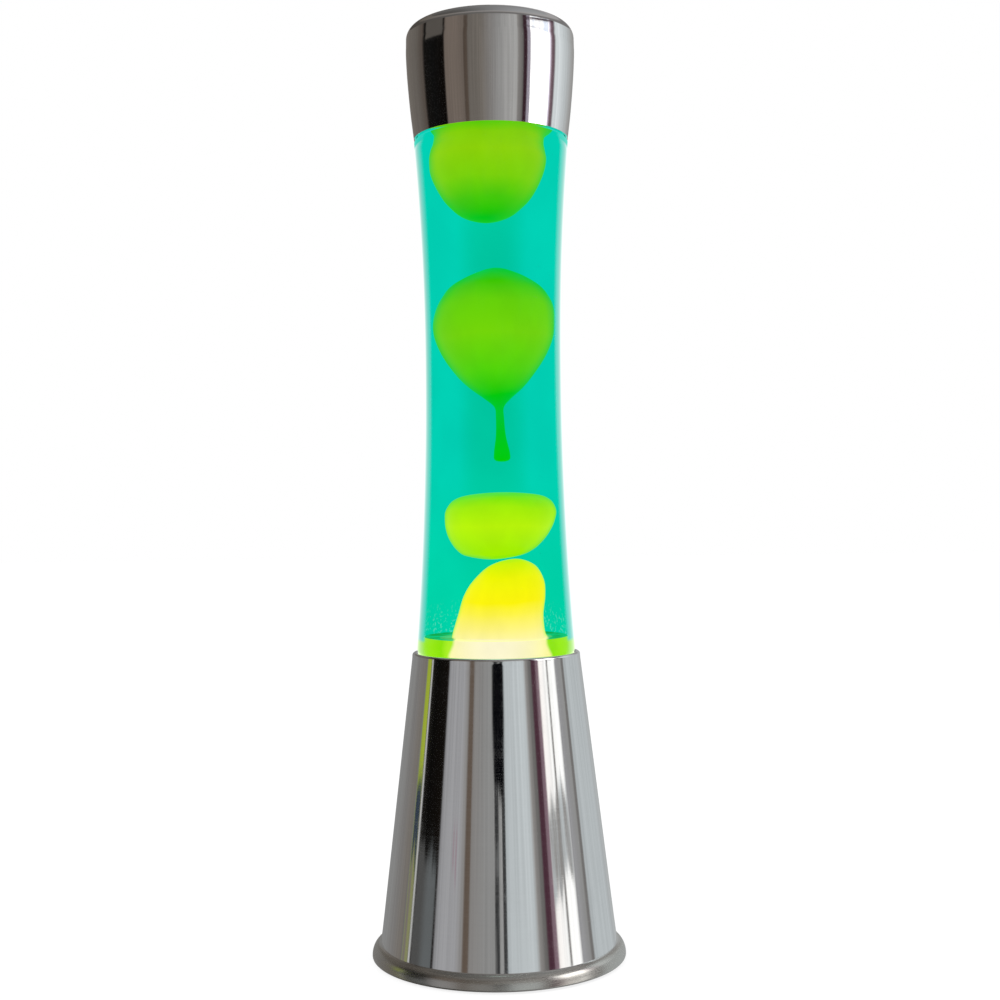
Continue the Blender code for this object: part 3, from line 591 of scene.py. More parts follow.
def make_base():
    """The spun cone, from its rolled rim down to the hem and up inside again, with the hole for the cord."""
    bead_r = LIP_R - BEAD_R
    bead_z = LIP_TOP - BEAD_R
    bead = arc(bead_r, bead_z, BEAD_R, 215, -8, 16)
    hem = arc(FOOT_R - HEM_R, HEM_Z, HEM_R, -10, -270, 12)
    top = bead_z - UNDER_BEAD
    wall = []
    for i in range(WALL_STEPS):
        z = top + (CREASE_Z - top) * i / WALL_STEPS
        wall.append((LIP_R - 0.1 + (CREASE_R - LIP_R) * (bead_z - z) / (bead_z - CREASE_Z), z))
    wall.append((CREASE_R, CREASE_Z))
    inside = [*foot_flare(SHEET, 6)[::-1][1:], (CREASE_R - SHEET, CREASE_Z)]
    inside.append((LIP_R - SHEET, bead_z - UNDER_BEAD_INSIDE))
    outline = [*bead, *wall, *foot_flare(0, 12), *hem, *inside]
    look = polished_metal("polished_base", BASE_TINT, CREASE_Z)
    base = turned("base_cone", outline, ROUND, look, sharp=28)
    hole = [(0, 30), (CORD_EXIT_R, 30), (CORD_EXIT_R, 60), (0, 60)]
    bore = turned("cut_cord_exit", hole, 40, look)
    backwards = Matrix.Rotation(math.radians(-90), 4, "X")
    bore.matrix_world = Matrix.Translation((0, 0, CORD_EXIT_Z * MM)) @ backwards
    cut = base.modifiers.new("cord_exit", "BOOLEAN")
    cut.operation = "DIFFERENCE"
    cut.object = bore
    graph = bpy.context.evaluated_depsgraph_get()
    mesh = bpy.data.meshes.new_from_object(base.evaluated_get(graph))
    base.modifiers.clear()
    base.data = mesh
    bpy.data.objects.remove(bore)
    return show(base, "base", "polished_metal", "base_shell")


# The cap's flat top, and its side as (radius, height).
CAP_FLAT_R = 20
CAP_SIDE = (
    (CAP_R - 0.05, 392.0), (CAP_R, 388.0), (CAP_R - 0.5, 378.0), (34.6, 364.0), (CAP_RIM_R, CAP_RIM_Z),
)


def make_cap():
    """The cup over the neck, one sheet thick."""
    corner_r = CAP_R - CAP_CORNER - 0.1
    crown = arc(corner_r, CAP_TOP - CAP_CORNER, CAP_CORNER, 90, 2, 18)
    side = [(p.x, p.y) for p in spline([(r, z, 0) for r, z in CAP_SIDE], 5)]
    inner = [(r - SHEET, z) for r, z in side[::-1]]
    inner_crown = arc(corner_r, CAP_TOP - CAP_CORNER, CAP_CORNER - SHEET, 4, 90, 8)
    top = [(0, CAP_TOP), (CAP_FLAT_R, CAP_TOP)]
    outline = [*top, *crown, *side, *inner, *inner_crown, (0, CAP_TOP - SHEET)]
    cap = turned("cap_cup", outline, ROUND, polished_metal("polished_cap", CAP_TINT), sharp=40)
    return show(cap, "cap", "polished_metal", "cap")


# ---------- Bottle and contents ----------


def bottle_r(z):
    """The glass's outer radius at a height between the band and the shoulder."""
    if z < WAIST_Z:
        return WAIST_R + (BAND_R - WAIST_R) * ((WAIST_Z - z) / (WAIST_Z - BAND_Z)) ** 2.1
    return WAIST_R + (SHOULDER_R - WAIST_R) * ((z - WAIST_Z) / (SHOULDER_Z - WAIST_Z)) ** 2


def hourglass(inset, high, low, count):
    """The glass's sides from high down to low, moved in by inset."""
    heights = [high + (low - high) * i / (count - 1) for i in range(count)]
    return [(bottle_r(z) - inset, z) for z in heights]


# The bottle's walls, as (radius, height).
INNER_CORNER = 3.0
INNER_FLOOR_Z = FLOOR_Z + 3.0
INNER_WALL = ((HEEL_R - GLASS, 113.0), (31.0, 128.0), (31.9, BAND_Z - 0.4))
INNER_SHOULDER = ((30.2, 352.6), (28.6, 356.4), (24.9, 359.9), (17.2, 364.2), (10.6, 367.8))
BORE_FOOT_Z = 371.5
OUTER_NECK = (
    (NECK_R - 0.4, NECK_TOP), (NECK_R + GAP, NECK_TOP - 0.5), (NECK_R + GAP, 380.5), (NECK_R, 379.5),
    (NECK_R, 371.0),
)
OUTER_SHOULDER = ((18.0, 366.0), (26.0, 361.5), (30.0, 357.5), (31.4, 354.0), (31.9, 352.2), (32.6, 351.5))


def bottle_inside(inset):
    """The inner wall from the floor up to the neck, moved in by inset."""
    heel = arc(HEEL_R - HEEL_ARC, INNER_FLOOR_Z + INNER_CORNER, INNER_CORNER, -90, 0, 8)
    sides = hourglass(GLASS, SHOULDER_Z - 1.5, BAND_Z + 2, 40)[::-1]
    wall = [*heel, *INNER_WALL, *sides, *INNER_SHOULDER]
    return [(0, INNER_FLOOR_Z + 0.5), *[(r - inset, z) for r, z in wall]]


def make_bottle():
    """The hollow bottle: its inner wall and bore going up, then its outer wall going down."""
    sides = [*hourglass(0, SHOULDER_Z, BAND_Z, 48), (33.6, 131.0), (32.8, 128.5)]
    heel = [*arc(HEEL_R - HEEL_ARC, FLOOR_Z + HEEL_ARC, HEEL_ARC, 0, -90, 10), (0, FLOOR_Z + 1)]
    outline = [*bottle_inside(0), (BORE_R, BORE_FOOT_Z), (BORE_R, NECK_TOP)]
    outline += [*OUTER_NECK, *OUTER_SHOULDER, *sides, *heel]
    bottle = turned("bottle_glass_body", outline, ROUND, bottle_glass(), sharp=60)
    return show(bottle, "bottle", "bottle_glass", "bottle")


def make_liquid():
    """The liquid, from its level in the neck down to the pool."""
    wall = [(r, z) for r, z in bottle_inside(GAP)[::-1] if z > POOL_Z + 1 and r > 0]
    outline = [(0, LIQUID_TOP), (BORE_R - GAP, LIQUID_TOP), (BORE_R - GAP, BORE_FOOT_Z), *wall]
    outline += [(bottle_r(POOL_Z) - GLASS - GAP, POOL_Z + GAP), (0, POOL_Z + GAP)]
    liquid = turned("liquid_fill", outline, ROUND, lit_liquid(), sharp=80)
    return show(liquid, "bottle", "teal_liquid", "liquid")


# The wax, as (height, centre x, radius). A radius of 0 is a pole.
WAX_TOP = (
    (364.0, 0.0, 0.0), (361.8, 0.0, 15.0), (359.8, 0.2, 22.0), (358.2, 0.4, 25.6), (357.0, 0.4, 26.6),
    (355.4, 0.0, 25.0), (353.4, -0.7, 23.9), (350.0, -1.2, 24.0), (347.0, -1.5, 24.8), (343.0, -1.5, 25.3),
    (336.8, -1.9, 24.2), (329.0, -2.0, 20.4), (323.8, -2.2, 16.2), (319.0, -2.4, 9.8), (316.7, -2.2, 0.0),
)
WAX_BALLOON = (
    (297.0, 1.5, 0.0), (294.4, 1.6, 9.5), (289.2, 1.3, 18.8), (284.0, 1.3, 23.2), (278.9, 1.0, 25.5),
    (272.4, 0.4, 26.3), (265.9, 0.4, 25.4), (258.1, 0.5, 21.9), (250.3, 0.7, 16.4), (245.1, 1.2, 11.5),
    (240.5, 1.8, 5.8), (236.8, 2.4, 2.1), (232.2, 2.7, 1.8), (224.4, 3.0, 2.2), (217.0, 3.4, 3.5),
    (214.0, 3.4, 3.2), (213.2, 3.3, 0.0),
)
WAX_LOW = (
    (200.0, 3.4, 0.0), (199.0, 3.6, 14.2), (196.7, 3.1, 20.8), (192.4, 2.7, 23.8), (188.1, 2.2, 23.8),
    (183.7, 1.5, 22.6), (179.4, 0.8, 20.3), (175.3, 0.0, 16.6), (172.6, -1.0, 11.4), (171.0, -1.5, 0.0),
)
MOUND = (
    (171.2, 9.0, 0.0), (168.6, 7.6, 9.3), (162.5, 5.9, 14.9), (155.8, 4.0, 17.5), (147.4, 2.2, 18.4),
    (141.0, 1.4, 19.6), (138.3, 1.4, 20.3),
)
BELOW_MOUND = (136.0, 1.7, 21.0)
NOTCH_Z = 113.6
NOTCH_WIDTH = 6.1
WAX_FOOT_Z = FLOOR_Z + 3.9
POOL = (
    (POOL_Z + 0.1, 1.7, 20.8), (POOL_Z, 1.0, 25.0), (POOL_Z, 0.4, 29.6), (POOL_Z + 0.5, 0.0, 31.0),
    (POOL_Z - 0.6, 0.0, 31.2),
)

# Their tones by height, painted light from the bulb below, in eight-bit levels.
TOP_TONES = (
    (317.5, (4, 192, 0)), (324.0, (70, 199, 0)), (332.0, (122, 208, 0)), (343.0, (140, 209, 0)),
    (350.5, (130, 205, 0)), (354.0, (96, 202, 0)), (357.5, (40, 196, 0)),
)
BALLOON_TONES = (
    (213.0, (1, 200, 4)), (226.0, (1, 199, 30)), (233.0, (1, 198, 50)), (241.0, (2, 198, 4)),
    (251.0, (81, 209, 0)), (266.0, (114, 210, 0)), (279.0, (100, 206, 0)), (289.0, (56, 197, 0)),
    (297.0, (2, 192, 30)),
)
LOW_TONES = (
    (171.0, (150, 232, 0)), (176.0, (160, 235, 0)), (186.0, (183, 243, 0)), (194.0, (160, 236, 0)),
    (198.0, (120, 228, 4)), (200.5, (61, 222, 12)),
)
MOUND_TONES = (
    (108.0, (252, 247, 200)), (131.0, (253, 248, 205)), (136.0, (254, 246, 170)), (142.0, (254, 243, 125)),
    (148.5, (253, 243, 70)), (153.5, (252, 243, 4)), (158.0, (248, 245, 2)), (164.0, (238, 245, 0)),
    (169.5, (205, 242, 12)), (171.5, (165, 234, 33)),
)


def make_wax():
    """The three loose bodies of wax."""
    top = lit_wax("wax_top_lit", TOP_TONES, (30, 196, 0))
    show(blob("wax_top_drop", WAX_TOP, top), "wax_top", "wax", "wax_top")
    balloon = lit_wax("wax_balloon_lit", BALLOON_TONES, (2, 192, 30))
    show(blob("wax_balloon_drop", WAX_BALLOON, balloon), "wax_balloon", "wax", "wax_balloon")
    low = lit_wax("wax_low_lit", LOW_TONES, (90, 214, 10), band=(0.0, 0.4))
    show(blob("wax_low_drop", WAX_LOW, low), "wax_low", "wax", "wax_low")


def make_mound():
    """The molten pool, notched at its foot for the heating coil, and the mound that rises from it."""
    outer_r = HEEL_R - GLASS - GAP
    notch_r = outer_r - NOTCH_WIDTH
    rise = spline(MOUND, 8, (mirrored(MOUND[0], MOUND[1]), BELOW_MOUND))
    wall = [(z, 0.0, r) for r, z in bottle_inside(GAP)[::-1] if NOTCH_Z + 1 < z < POOL_Z - 1.5]
    foot = [(NOTCH_Z, 0.0, outer_r), (NOTCH_Z, 0.0, notch_r), (WAX_FOOT_Z, 0.0, notch_r), (WAX_FOOT_Z, 0, 0)]
    look = lit_wax("wax_mound_lit", MOUND_TONES, (165, 236, 20), band=(0.0, 0.42), pool=True)
    mound = skin(level_rings([*rise, *POOL, *wall, *foot]), "wax_mound_and_pool", look, sharp=50)
    show(mound, "bottle", "wax", "wax_mound")


# ---------- Everything else ----------


def make_looks():
    """The finishes of the cords and of the pieces that come over from the CAD with rounded edges."""
    steel = {"metallic": 1.0, "grain": 700.0, "stretch": (1, 1, 12)}
    brass = {"metallic": 1.0, "grain": 600.0, "stretch": (1, 1, 10)}
    plastic = {"swing": 0.08, "grain": 1500.0, "relief": 0.03, "shade": 0.15}
    return {
        "steel": surface("steel_plated", (0.58, 0.58, 0.57), 0.32, **steel),
        "brass": surface("brass_plain", (0.76, 0.58, 0.28), 0.28, **brass),
        "closure_metal": surface("closure_tin", (0.80, 0.80, 0.78), 0.25, metallic=1.0, grain=500.0),
        "liner": surface("liner_soft", (0.82, 0.82, 0.76), 0.6),
        "black_plastic": surface("black_moulding", (0.022, 0.022, 0.023), 0.38, **plastic),
        "foam": surface("foam_pad", (0.03, 0.03, 0.03), 0.9, grain=2500.0, relief=0.15, shade=0.4),
        "bulb_glass": surface("bulb_frosted", (0.90, 0.90, 0.88), 0.25, grain=400.0, Alpha=0.75),
        "brown_wire": surface("brown_sleeve", (0.20, 0.07, 0.03), 0.45),
        "blue_wire": surface("blue_sleeve", (0.03, 0.10, 0.40), 0.45),
    }


# The pieces that come over from the CAD, by finish, with their edges' rounding.
REFINED = {
    "steel": {
        "holder_bracket": 0.2, "bracket_screw_1": 0.0, "bracket_screw_2": 0.0, "holder_nut": 0.3,
        "cord_clamp": 0.2, "clamp_screw_1": 0.0, "clamp_screw_2": 0.0, "switch_screw_1": 0.0,
        "switch_screw_2": 0.0, "bulb_tip": 0.0, "bulb_filament": 0.0, "bulb_lead_1": 0.0, "bulb_lead_2": 0.0,
        "heating_coil": 0.0,
    },
    "brass": {
        "holder_sleeve": 0.0, "holder_contact": 0.1, "bulb_screw_shell": 0.0, "switch_terminal_1": 0.0,
        "switch_terminal_2": 0.0, "plug_pin_1": 0.0, "plug_pin_2": 0.0,
    },
    "closure_metal": {"closure": 0.0},
    "liner": {"closure_liner": 0.1},
    "black_plastic": {
        "bottom_cover": 0.3, "holder_body": 0.3, "bulb_insulator": 0.0, "cord_grommet": 0.25,
        "switch_case_bottom": 0.3, "switch_case_top": 0.3, "switch_rocker": 0.5, "plug_body": 0.0,
    },
    "foam": {"foot_pad_center": 0.4, "foot_pad_1": 0.4, "foot_pad_2": 0.4, "foot_pad_3": 0.4},
    "bulb_glass": {"bulb_envelope": 0.0, "bulb_stem": 0.0},
    "brown_wire": {"live_wire": 0.0},
    "blue_wire": {"neutral_wire": 0.0},
}


def make_small_pieces(looks):
    """Every piece that the CAD's own shape is good enough for."""
    for slot, nodes in REFINED.items():
        for node, bevel in nodes.items():
            refined(node, looks[slot], slot, bevel)


CORD_R = 2.6
CLAMP_Y = 28.0
CLAMPED_Z = 7.9
CORD_PITCH = 5.6
COIL_CENTRE_Y = 104.0
COIL_OUTER = 38.0
CORD_LOOPS = 3
STEPS_A_LOOP = 14
SWITCH = Vector((-2.0, 158.0, 8.6))
SWITCH_LENGTH = 56.0
PLUG = Vector((-4.0, 188.0, 7.0))


def cord_route():
    """The frame's route, from the anchorage, out through the grommet and round the coil to the switch."""
    rest = CORD_R + GAP
    start = [(0, CLAMP_Y - 8, CLAMPED_Z), (0, CLAMP_Y + 5, CLAMPED_Z), (0, 37.5, 11.5), (0, 42.5, 17.3)]
    start += [(0, 46, CORD_EXIT_Z), (0, 53, CORD_EXIT_Z), (-0.6, 56, 17.6), (-4, 61, 14.5)]
    start += [(-11, 66.2, 8.5), (-18, 70.6, 4.2)]
    coil = []
    for i in range(2, CORD_LOOPS * STEPS_A_LOOP + 1):
        angle = -math.pi / 2 - FULL_TURN * i / STEPS_A_LOOP
        radius = COIL_OUTER - CORD_PITCH * i / STEPS_A_LOOP
        coil.append((radius * math.cos(angle), COIL_CENTRE_Y + radius * math.sin(angle), rest))
    over = rest + 2 * CORD_R + 0.6
    finish = [(-9, 82.8, 4.6), (-16, 88, over), (-24, 98, over), (-32, 112, over), (-41, 124, over)]
    finish += [(-47, 136, 6), (-47, 148, 8.6), (-42, 156, SWITCH.z), (-27, SWITCH.y, SWITCH.z)]
    return [*start, *coil, *finish]


def make_cords(look):
    """The cord from the base to the switch, and the one from there to the plug."""
    show(tube("cord_to_switch", spline(cord_route(), 6), CORD_R, look), "base", "black_plastic", "cord_long")
    out = SWITCH.x + SWITCH_LENGTH / 2 - 3
    stops = [(out, SWITCH.y, SWITCH.z), (out + 8, SWITCH.y, SWITCH.z), (out + 18, SWITCH.y + 7, 7.5)]
    stops += [(out + 20, PLUG.y - 9, PLUG.z), (out + 13, PLUG.y - 1, PLUG.z), (out + 3, PLUG.y, PLUG.z)]
    show(tube("cord_to_plug", spline(stops, 10), CORD_R, look), "base", "black_plastic", "cord_short")


# ---------- Room, light and camera ----------

WARM = (1.0, 0.90, 0.80)
TAN = (1.0, 0.82, 0.70)
BROWN = (1.0, 0.76, 0.60)
SOFT = (1.0, 0.96, 0.93)
EVEN = (1.0, 1.0, 0.99)
COOL = (0.93, 1.0, 1.03)
BLUE = (0.62, 0.86, 1.30)
LILAC = (1.0, 0.92, 1.10)
PEARL = (0.98, 0.98, 1.02)
PLUM = (1.0, 0.66, 0.80)
MAUVE = (1.0, 0.42, 0.62)
LIME = (0.85, 1.05, 0.10)
OLIVE = (1.0, 1.03, 0.50)

# What the metal sees around the lamp, as (bearing, display brightness, tint). A bearing is in degrees from the
# camera's side. The cap sees the high room, and the base the low one.
HIGH_ROOM = (
    (-180, 0.50, SOFT), (-156, 0.42, WARM), (-140, 0.40, WARM), (-120, 0.38, WARM), (-104, 0.31, TAN),
    (-99, 0.07, WARM), (-84, 0.05, EVEN), (-66, 0.04, BROWN), (-64, 0.07, BROWN), (-62, 0.41, TAN),
    (-50, 0.43, TAN), (-36, 0.40, TAN), (-34.5, 0.30, BROWN), (-30.5, 0.30, BROWN), (-29, 0.39, WARM),
    (-12, 0.43, WARM), (0, 0.48, SOFT), (12, 0.54, EVEN), (25, 0.61, EVEN), (36, 0.64, EVEN), (38, 0.50, SOFT),
    (44.5, 0.38, SOFT), (46, 0.20, MAUVE), (50, 0.20, MAUVE), (51.5, 0.60, LILAC), (55, 0.58, LILAC),
    (57.5, 1.10, EVEN), (69.0, 1.10, EVEN), (69.6, 0.86, LILAC), (70.4, 0.86, LILAC), (71, 1.10, EVEN),
    (84, 1.10, EVEN), (88, 0.88, LILAC), (91, 0.46, PLUM), (96, 0.36, PLUM), (99, 0.80, COOL),
    (108, 0.86, COOL), (125, 0.74, COOL), (148, 0.60, EVEN), (180, 0.50, SOFT),
)
LOW_ROOM = (
    (-180, 0.52, EVEN), (-142, 0.50, EVEN), (-123, 0.46, SOFT), (-108, 0.44, WARM), (-104.5, 0.43, SOFT),
    (-103, 0.60, LIME), (-96.5, 0.62, LIME), (-95.5, 0.34, WARM), (-94.3, 0.72, EVEN), (-93, 0.66, EVEN),
    (-91.8, 0.10, WARM), (-84, 0.04, WARM), (-68, 0.06, BROWN), (-65, 0.09, BROWN), (-63, 0.53, PEARL),
    (-58, 0.59, PEARL), (-42, 0.58, PEARL), (-35.5, 0.51, SOFT), (-34, 0.36, BROWN), (-29.5, 0.35, BROWN),
    (-28, 0.50, SOFT), (-12, 0.53, EVEN), (-6, 0.51, EVEN), (6, 0.62, EVEN), (8, 0.70, COOL), (14, 0.73, COOL),
    (30, 0.75, COOL), (35, 0.72, COOL), (38, 0.56, SOFT), (42, 0.43, SOFT), (45.5, 0.36, SOFT),
    (46.5, 0.28, MAUVE), (51.5, 0.28, MAUVE), (52.5, 0.46, PLUM), (56, 0.50, PLUM), (57.5, 0.96, SOFT),
    (68.5, 0.96, EVEN), (69.2, 0.48, SOFT), (70.8, 0.48, SOFT), (71.5, 0.99, EVEN), (82, 0.99, EVEN),
    (84, 0.58, PEARL), (95, 0.54, EVEN), (96.5, 0.42, SOFT), (99.5, 0.43, SOFT), (101, 0.67, COOL),
    (110, 0.72, COOL), (136, 0.70, COOL), (180, 0.62, EVEN),
)
# The metal's reflectance, and the radiance of what shows brighter than white.
SHEEN = 0.86
GLARE = 2.5
ROOM_R = 1000.0
ROOM_SIDES = 128
ROOM_HEIGHTS = (-700, 0, 700, 1500)


def display_tone(brightness, tint):
    """Radiance that a mirror of the metal's reflectance shows at this display brightness."""
    levels = srgb(*[255 * brightness] * 3)[:3] if brightness <= 1 else [GLARE] * 3
    return (*[level * share / SHEEN for level, share in zip(levels, tint)], 1.0)


def room_ramp(tree, bearing, tones):
    """The room's tones by bearing, in two halves, because a ramp holds 32 stops."""
    halves = []
    for low, high in ((-180, 0), (0, 180)):
        stops = [(at, display_tone(level, tint)) for at, level, tint in tones if low - 13 <= at <= high + 13]
        stops = [(min(max(at, low), high), color) for at, color in stops]
        halves.append(tree.ramp(bearing, stops, low, high))
    return tree.mix(tree.spread(bearing, -0.01, 0.01, smooth=False), *halves)


# The room's few details, as (from, to, softness) in degrees of bearing or metres of height. A pair of heights
# is the range over which one look gives way to the other.
DOORWAY = (-91.0, -66.5, 1.0)
STEP_Z = (0.0, 0.02)
LINTEL = (-96.0, -66.0, 1.5)
LINTEL_Z = (0.665, 0.675)
EDGING = (-103.5, -96.0, 0.5)
EDGING_BLUE_Z = (-0.03, 0.04, 0.01)
EDGING_FADED_Z = (-0.04, -0.02)
THREADS = (-47.5, -44.5)
THREADS_Z = (0.024, 0.07, 0.01)
PANES = (56.5, 83.0, 0.5)
PANES_Z = (-0.012, 0.082, 0.012)
VALANCE = (57.0, 86.0, 0.5)
VALANCE_Z = (0.72, 0.90, 0.012)
HEAD = (46.0, 97.0, 1.0)
HEAD_Z = (0.782, 0.803, 0.005)
POST = 1.4
POST_FOOT_Z = (0.113, 0.133)
POST_LINES = ((-1.5, 2.3), (6.0, 1.9))
LOW_TO_HIGH_Z = (0.28, 0.36)
CORNICE_Z = (0.82, 0.84)
CEILING_Z = (1.05, 1.2)
NEAR_BLACK = (0.002, 0.002, 0.003, 1)
CEILING_DARK = (0.13, 0.115, 0.10, 1)
CEILING_LIGHT = (0.38, 0.37, 0.37, 1)
CORNICE = (0.01, 0.01, 0.01, 1)


def with_doorway(tree, tone, bearing, height, level):
    """A paler step low in the dark doorway, a lintel over it, and the coloured edging to its left."""
    doorway = tree.product(tree.between(bearing, *DOORWAY), tree.spread(height, *STEP_Z, 1.0, 0.0))
    step = tree.mix(tree.spread(bearing, -84, -74), display_tone(0.29, EVEN), display_tone(0.37, COOL))
    tone = tree.mix(doorway, tone, step)
    lintel = tree.product(tree.between(bearing, *LINTEL), tree.spread(level, *LINTEL_Z))
    tone = tree.mix(lintel, tone, display_tone(0.31, WARM))
    edging = tree.between(bearing, *EDGING)
    blue = tree.product(edging, tree.between(height, *EDGING_BLUE_Z))
    tone = tree.mix(blue, tone, display_tone(0.24, BLUE))
    faded = tree.mix(tree.spread(bearing, -101, -99), display_tone(0.44, WARM), display_tone(0.49, OLIVE))
    return tree.mix(tree.product(edging, tree.spread(height, *EDGING_FADED_Z, 1.0, 0.0)), tone, faded)


def with_window(tree, tone, bearing, height, level):
    """A blind in the window's low part, a valance in its high part, and the dark line of its head."""
    panes = tree.product(tree.between(bearing, *PANES), tree.between(height, *PANES_Z), 0.96)
    mottle = tree.spread(tree.noise(7.0, (1, 1, 0.3), detail=5.0, rough=0.7), 0.42, 0.60)
    blind = tree.mix(mottle, display_tone(0.50, SOFT), display_tone(0.70, COOL))
    tone = tree.mix(panes, tone, blind)
    valance = tree.product(tree.between(bearing, *VALANCE), tree.between(level, *VALANCE_Z), 0.75)
    sky = tree.mix(mottle, display_tone(0.66, BLUE), display_tone(0.93, PEARL))
    tone = tree.mix(valance, tone, sky)
    head = tree.product(tree.between(bearing, *HEAD), tree.between(level, *HEAD_Z))
    return tree.mix(head, tone, display_tone(0.24, PLUM))


def with_post(tree, tone, bearing, height, level):
    """The dark post in front, which widens upwards and stands on two lines, the left one worn."""
    width = tree.spread(level, 0.10, 0.22, 5.0, 7.8)
    off = tree.calc("DIVIDE", tree.calc("SUBTRACT", bearing, POST), width)
    post = tree.product(tree.band(off, 0.0, 1.0), tree.spread(height, *POST_FOOT_Z))
    worn = tree.spread(tree.noise(24.0, detail=3.0), 0.40, 0.50, 0.72, 1.0)
    left, right = (tree.band(bearing, *line) for line in POST_LINES)
    stand = tree.calc("MAXIMUM", tree.product(left, worn), right)
    post = tree.calc("MAXIMUM", post, tree.product(stand, 0.9))
    return tree.mix(tree.product(post, tree.spread(level, 0.28, 0.30, 1.0, 0.0)), tone, NEAR_BLACK)


def room_material():
    """Tones by bearing, which differ at the heights that the base and the cap see, with the room's details."""
    made = bpy.data.materials.new("room_tones")
    tree = Tree(made)
    where = tree.add("SeparateXYZ", {0: tree.add("NewGeometry").outputs["Position"]}).outputs
    level = where["Z"]
    behind = tree.product(where["Y"], -1.0)
    bearing = tree.product(tree.calc("ARCTAN2", where["X"], behind), 180 / math.pi)
    ragged = tree.product(tree.calc("SUBTRACT", tree.noise(9.0, detail=4.0), 0.5), 0.10)
    height = tree.calc("ADD", level, ragged)

    tones = (room_ramp(tree, bearing, room) for room in (LOW_ROOM, HIGH_ROOM))
    tone = tree.mix(tree.spread(level, *LOW_TO_HIGH_Z), *tones)
    streak = tree.spread(tree.noise(26.0, (1, 1, 0.06), detail=5.0, rough=0.7), 0.3, 0.7, 0.86, 1.10)
    tone = tree.scaled(tone, streak)
    tone = with_doorway(tree, tone, bearing, height, level)
    threads = tree.calc("MAXIMUM", *[tree.band(bearing, thread, 0.8) for thread in THREADS])
    threads = tree.product(threads, tree.between(height, *THREADS_Z), 0.7)
    tone = tree.mix(threads, tone, display_tone(0.55, PLUM))
    tone = with_window(tree, tone, bearing, height, level)
    tone = with_post(tree, tone, bearing, height, level)

    ceiling = tree.mix(tree.spread(bearing, -150, 120), CEILING_DARK, CEILING_LIGHT)
    tone = tree.mix(tree.spread(level, *CORNICE_Z), tone, tree.mix(0.5, ceiling, CORNICE))
    tone = tree.mix(tree.spread(level, *CEILING_Z), tone, ceiling)
    tree.finish(tree.add("Emission", {"Color": tone, "Strength": 1.0}).outputs[0])
    made.cycles.emission_sampling = "NONE"
    return made


def make_room():
    """A round wall that only mirror-like surfaces see."""
    rings = []
    for z in ROOM_HEIGHTS:
        rings.append([(ROOM_R * math.cos(a), ROOM_R * math.sin(a), z) for a in turn_angles(ROOM_SIDES)])
    wall = skin(rings, "room_wall", room_material())
    for kind in ("camera", "diffuse", "transmission", "volume_scatter", "shadow"):
        setattr(wall, "visible_" + kind, False)
    return wall


def make_world():
    """White to the camera, soft light on matt surfaces, and a plain gradient past the room's wall."""
    world = bpy.data.worlds.new("studio")
    bpy.context.scene.world = world
    tree = Tree(world)
    way = tree.add("SeparateXYZ", {0: tree.add("TexCoord").outputs["Generated"]}).outputs
    side = tree.mix(tree.spread(way["X"], -0.8, 0.9), (0.07, 0.065, 0.06, 1), (0.36, 0.37, 0.38, 1))
    path = tree.add("LightPath").outputs
    plain = tree.mix(path["Is Camera Ray"], (0.82, 0.83, 0.84, 1), (1.0, 1.0, 1.0, 1))
    tone = tree.mix(path["Is Glossy Ray"], plain, side)
    tree.finish(tree.add("Background", {"Color": tone, "Strength": 1.0}).outputs[0], "World")


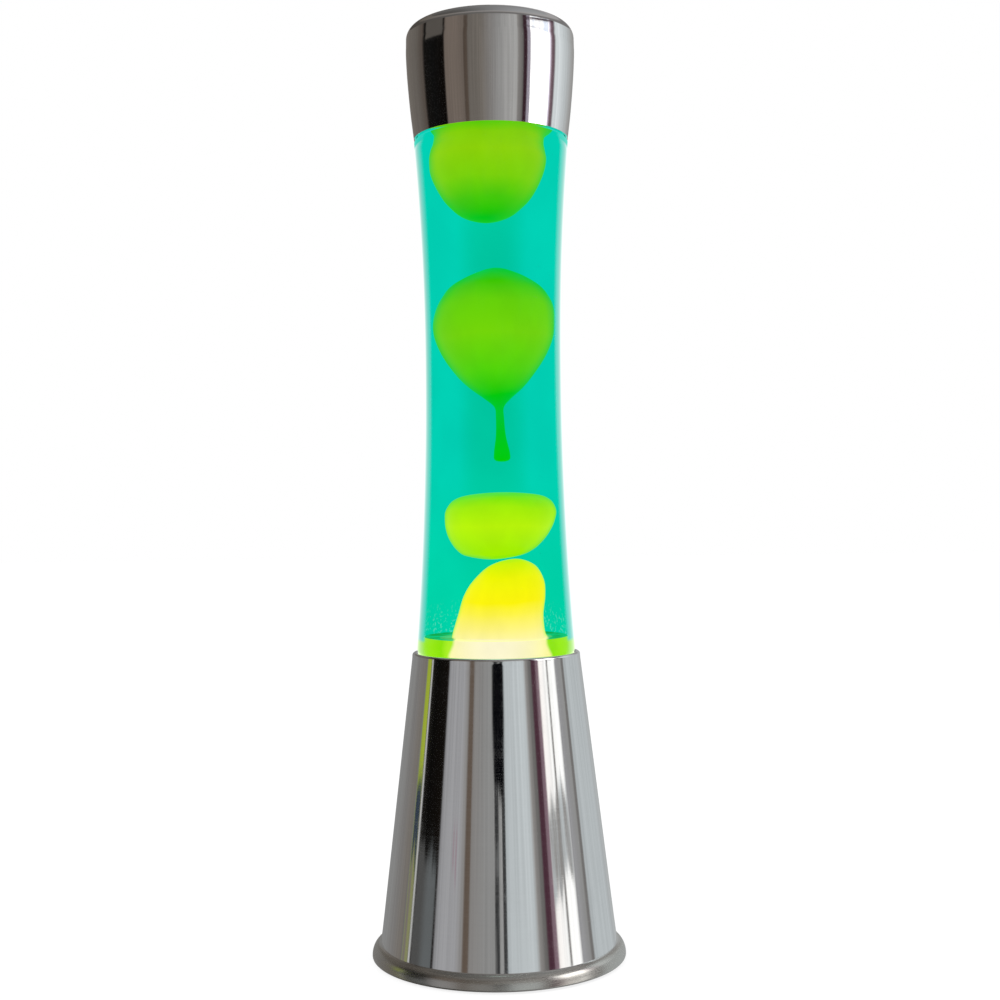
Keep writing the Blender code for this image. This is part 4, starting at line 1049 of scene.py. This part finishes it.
def make_floor():
    """A plain white floor, which the metal doesn't see."""
    made = bpy.data.materials.new("floor_white")
    tree = Tree(made)
    fine = tree.noise(300.0)
    bump = tree.add("Bump", {"Strength": 0.1, "Distance": 0.1 * MM, "Height": fine}).outputs[0]
    diffuse = tree.add("BsdfDiffuse", {"Color": (0.9, 0.9, 0.9, 1), "Normal": bump}).outputs[0]
    glow = tree.add("Emission", {"Color": (1.0, 1.0, 1.0, 1), "Strength": 1.1}).outputs[0]
    tree.finish(tree.add("MixShader", {0: 0.75, 1: diffuse, 2: glow}).outputs[0])
    made.cycles.emission_sampling = "NONE"
    size = 6000
    corners = [(-size, -size, 0), (size, -size, 0), (size, size, 0), (-size, size, 0)]
    shape = bmesh.new()
    shape.faces.new([shape.verts.new(Vector(p) * MM) for p in corners])
    floor = finished(shape, "floor", made)
    floor.visible_glossy = False
    return floor


def make_lights():
    """Two large soft panels, which light the plastic, cord and floor but don't show in the metal."""
    panels = (("key_panel", (-0.9, -1.0, 1.1), 9.0, 0.9), ("fill_panel", (1.1, 0.5, 0.9), 6.0, 1.0))
    made = []
    for name, at, power, size in panels:
        data = bpy.data.lights.new(name, "AREA")
        data.energy = power
        data.size = size
        light = bpy.data.objects.new(name, data)
        bpy.context.scene.collection.objects.link(light)
        light.location = at
        light.rotation_euler = (Vector((0, 0.05, 0.1)) - Vector(at)).to_track_quat("-Z", "Y").to_euler()
        light.visible_glossy = False
        made.append(light)
    return made


CAMERA_AT = (0, -0.6486, 0.1902)
CAMERA_ROLL = -0.6
CAMERA_SHIFT = (0.00525, 0.015)


def make_camera():
    """Level, at the height and distance that fit the photo's ellipses, with the photo's slight roll."""
    data = bpy.data.cameras.new("camera")
    data.lens = 54.0
    data.sensor_width = 36.0
    data.shift_x, data.shift_y = CAMERA_SHIFT
    data.clip_start = 0.01
    camera = bpy.data.objects.new("camera", data)
    bpy.context.scene.collection.objects.link(camera)
    level = Matrix.Rotation(math.radians(90), 4, "X")
    roll = Matrix.Rotation(math.radians(CAMERA_ROLL), 4, "Z")
    camera.matrix_world = Matrix.Translation(CAMERA_AT) @ level @ roll
    bpy.context.scene.camera = camera


looks = make_looks()
make_base()
make_cap()
make_bottle()
make_liquid()
make_wax()
make_mound()
make_small_pieces(looks)
make_cords(looks["black_plastic"])
make_world()
make_camera()
make_room()
make_floor()
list(make_lights())
bpy.context.scene.view_settings.view_transform = "Standard"
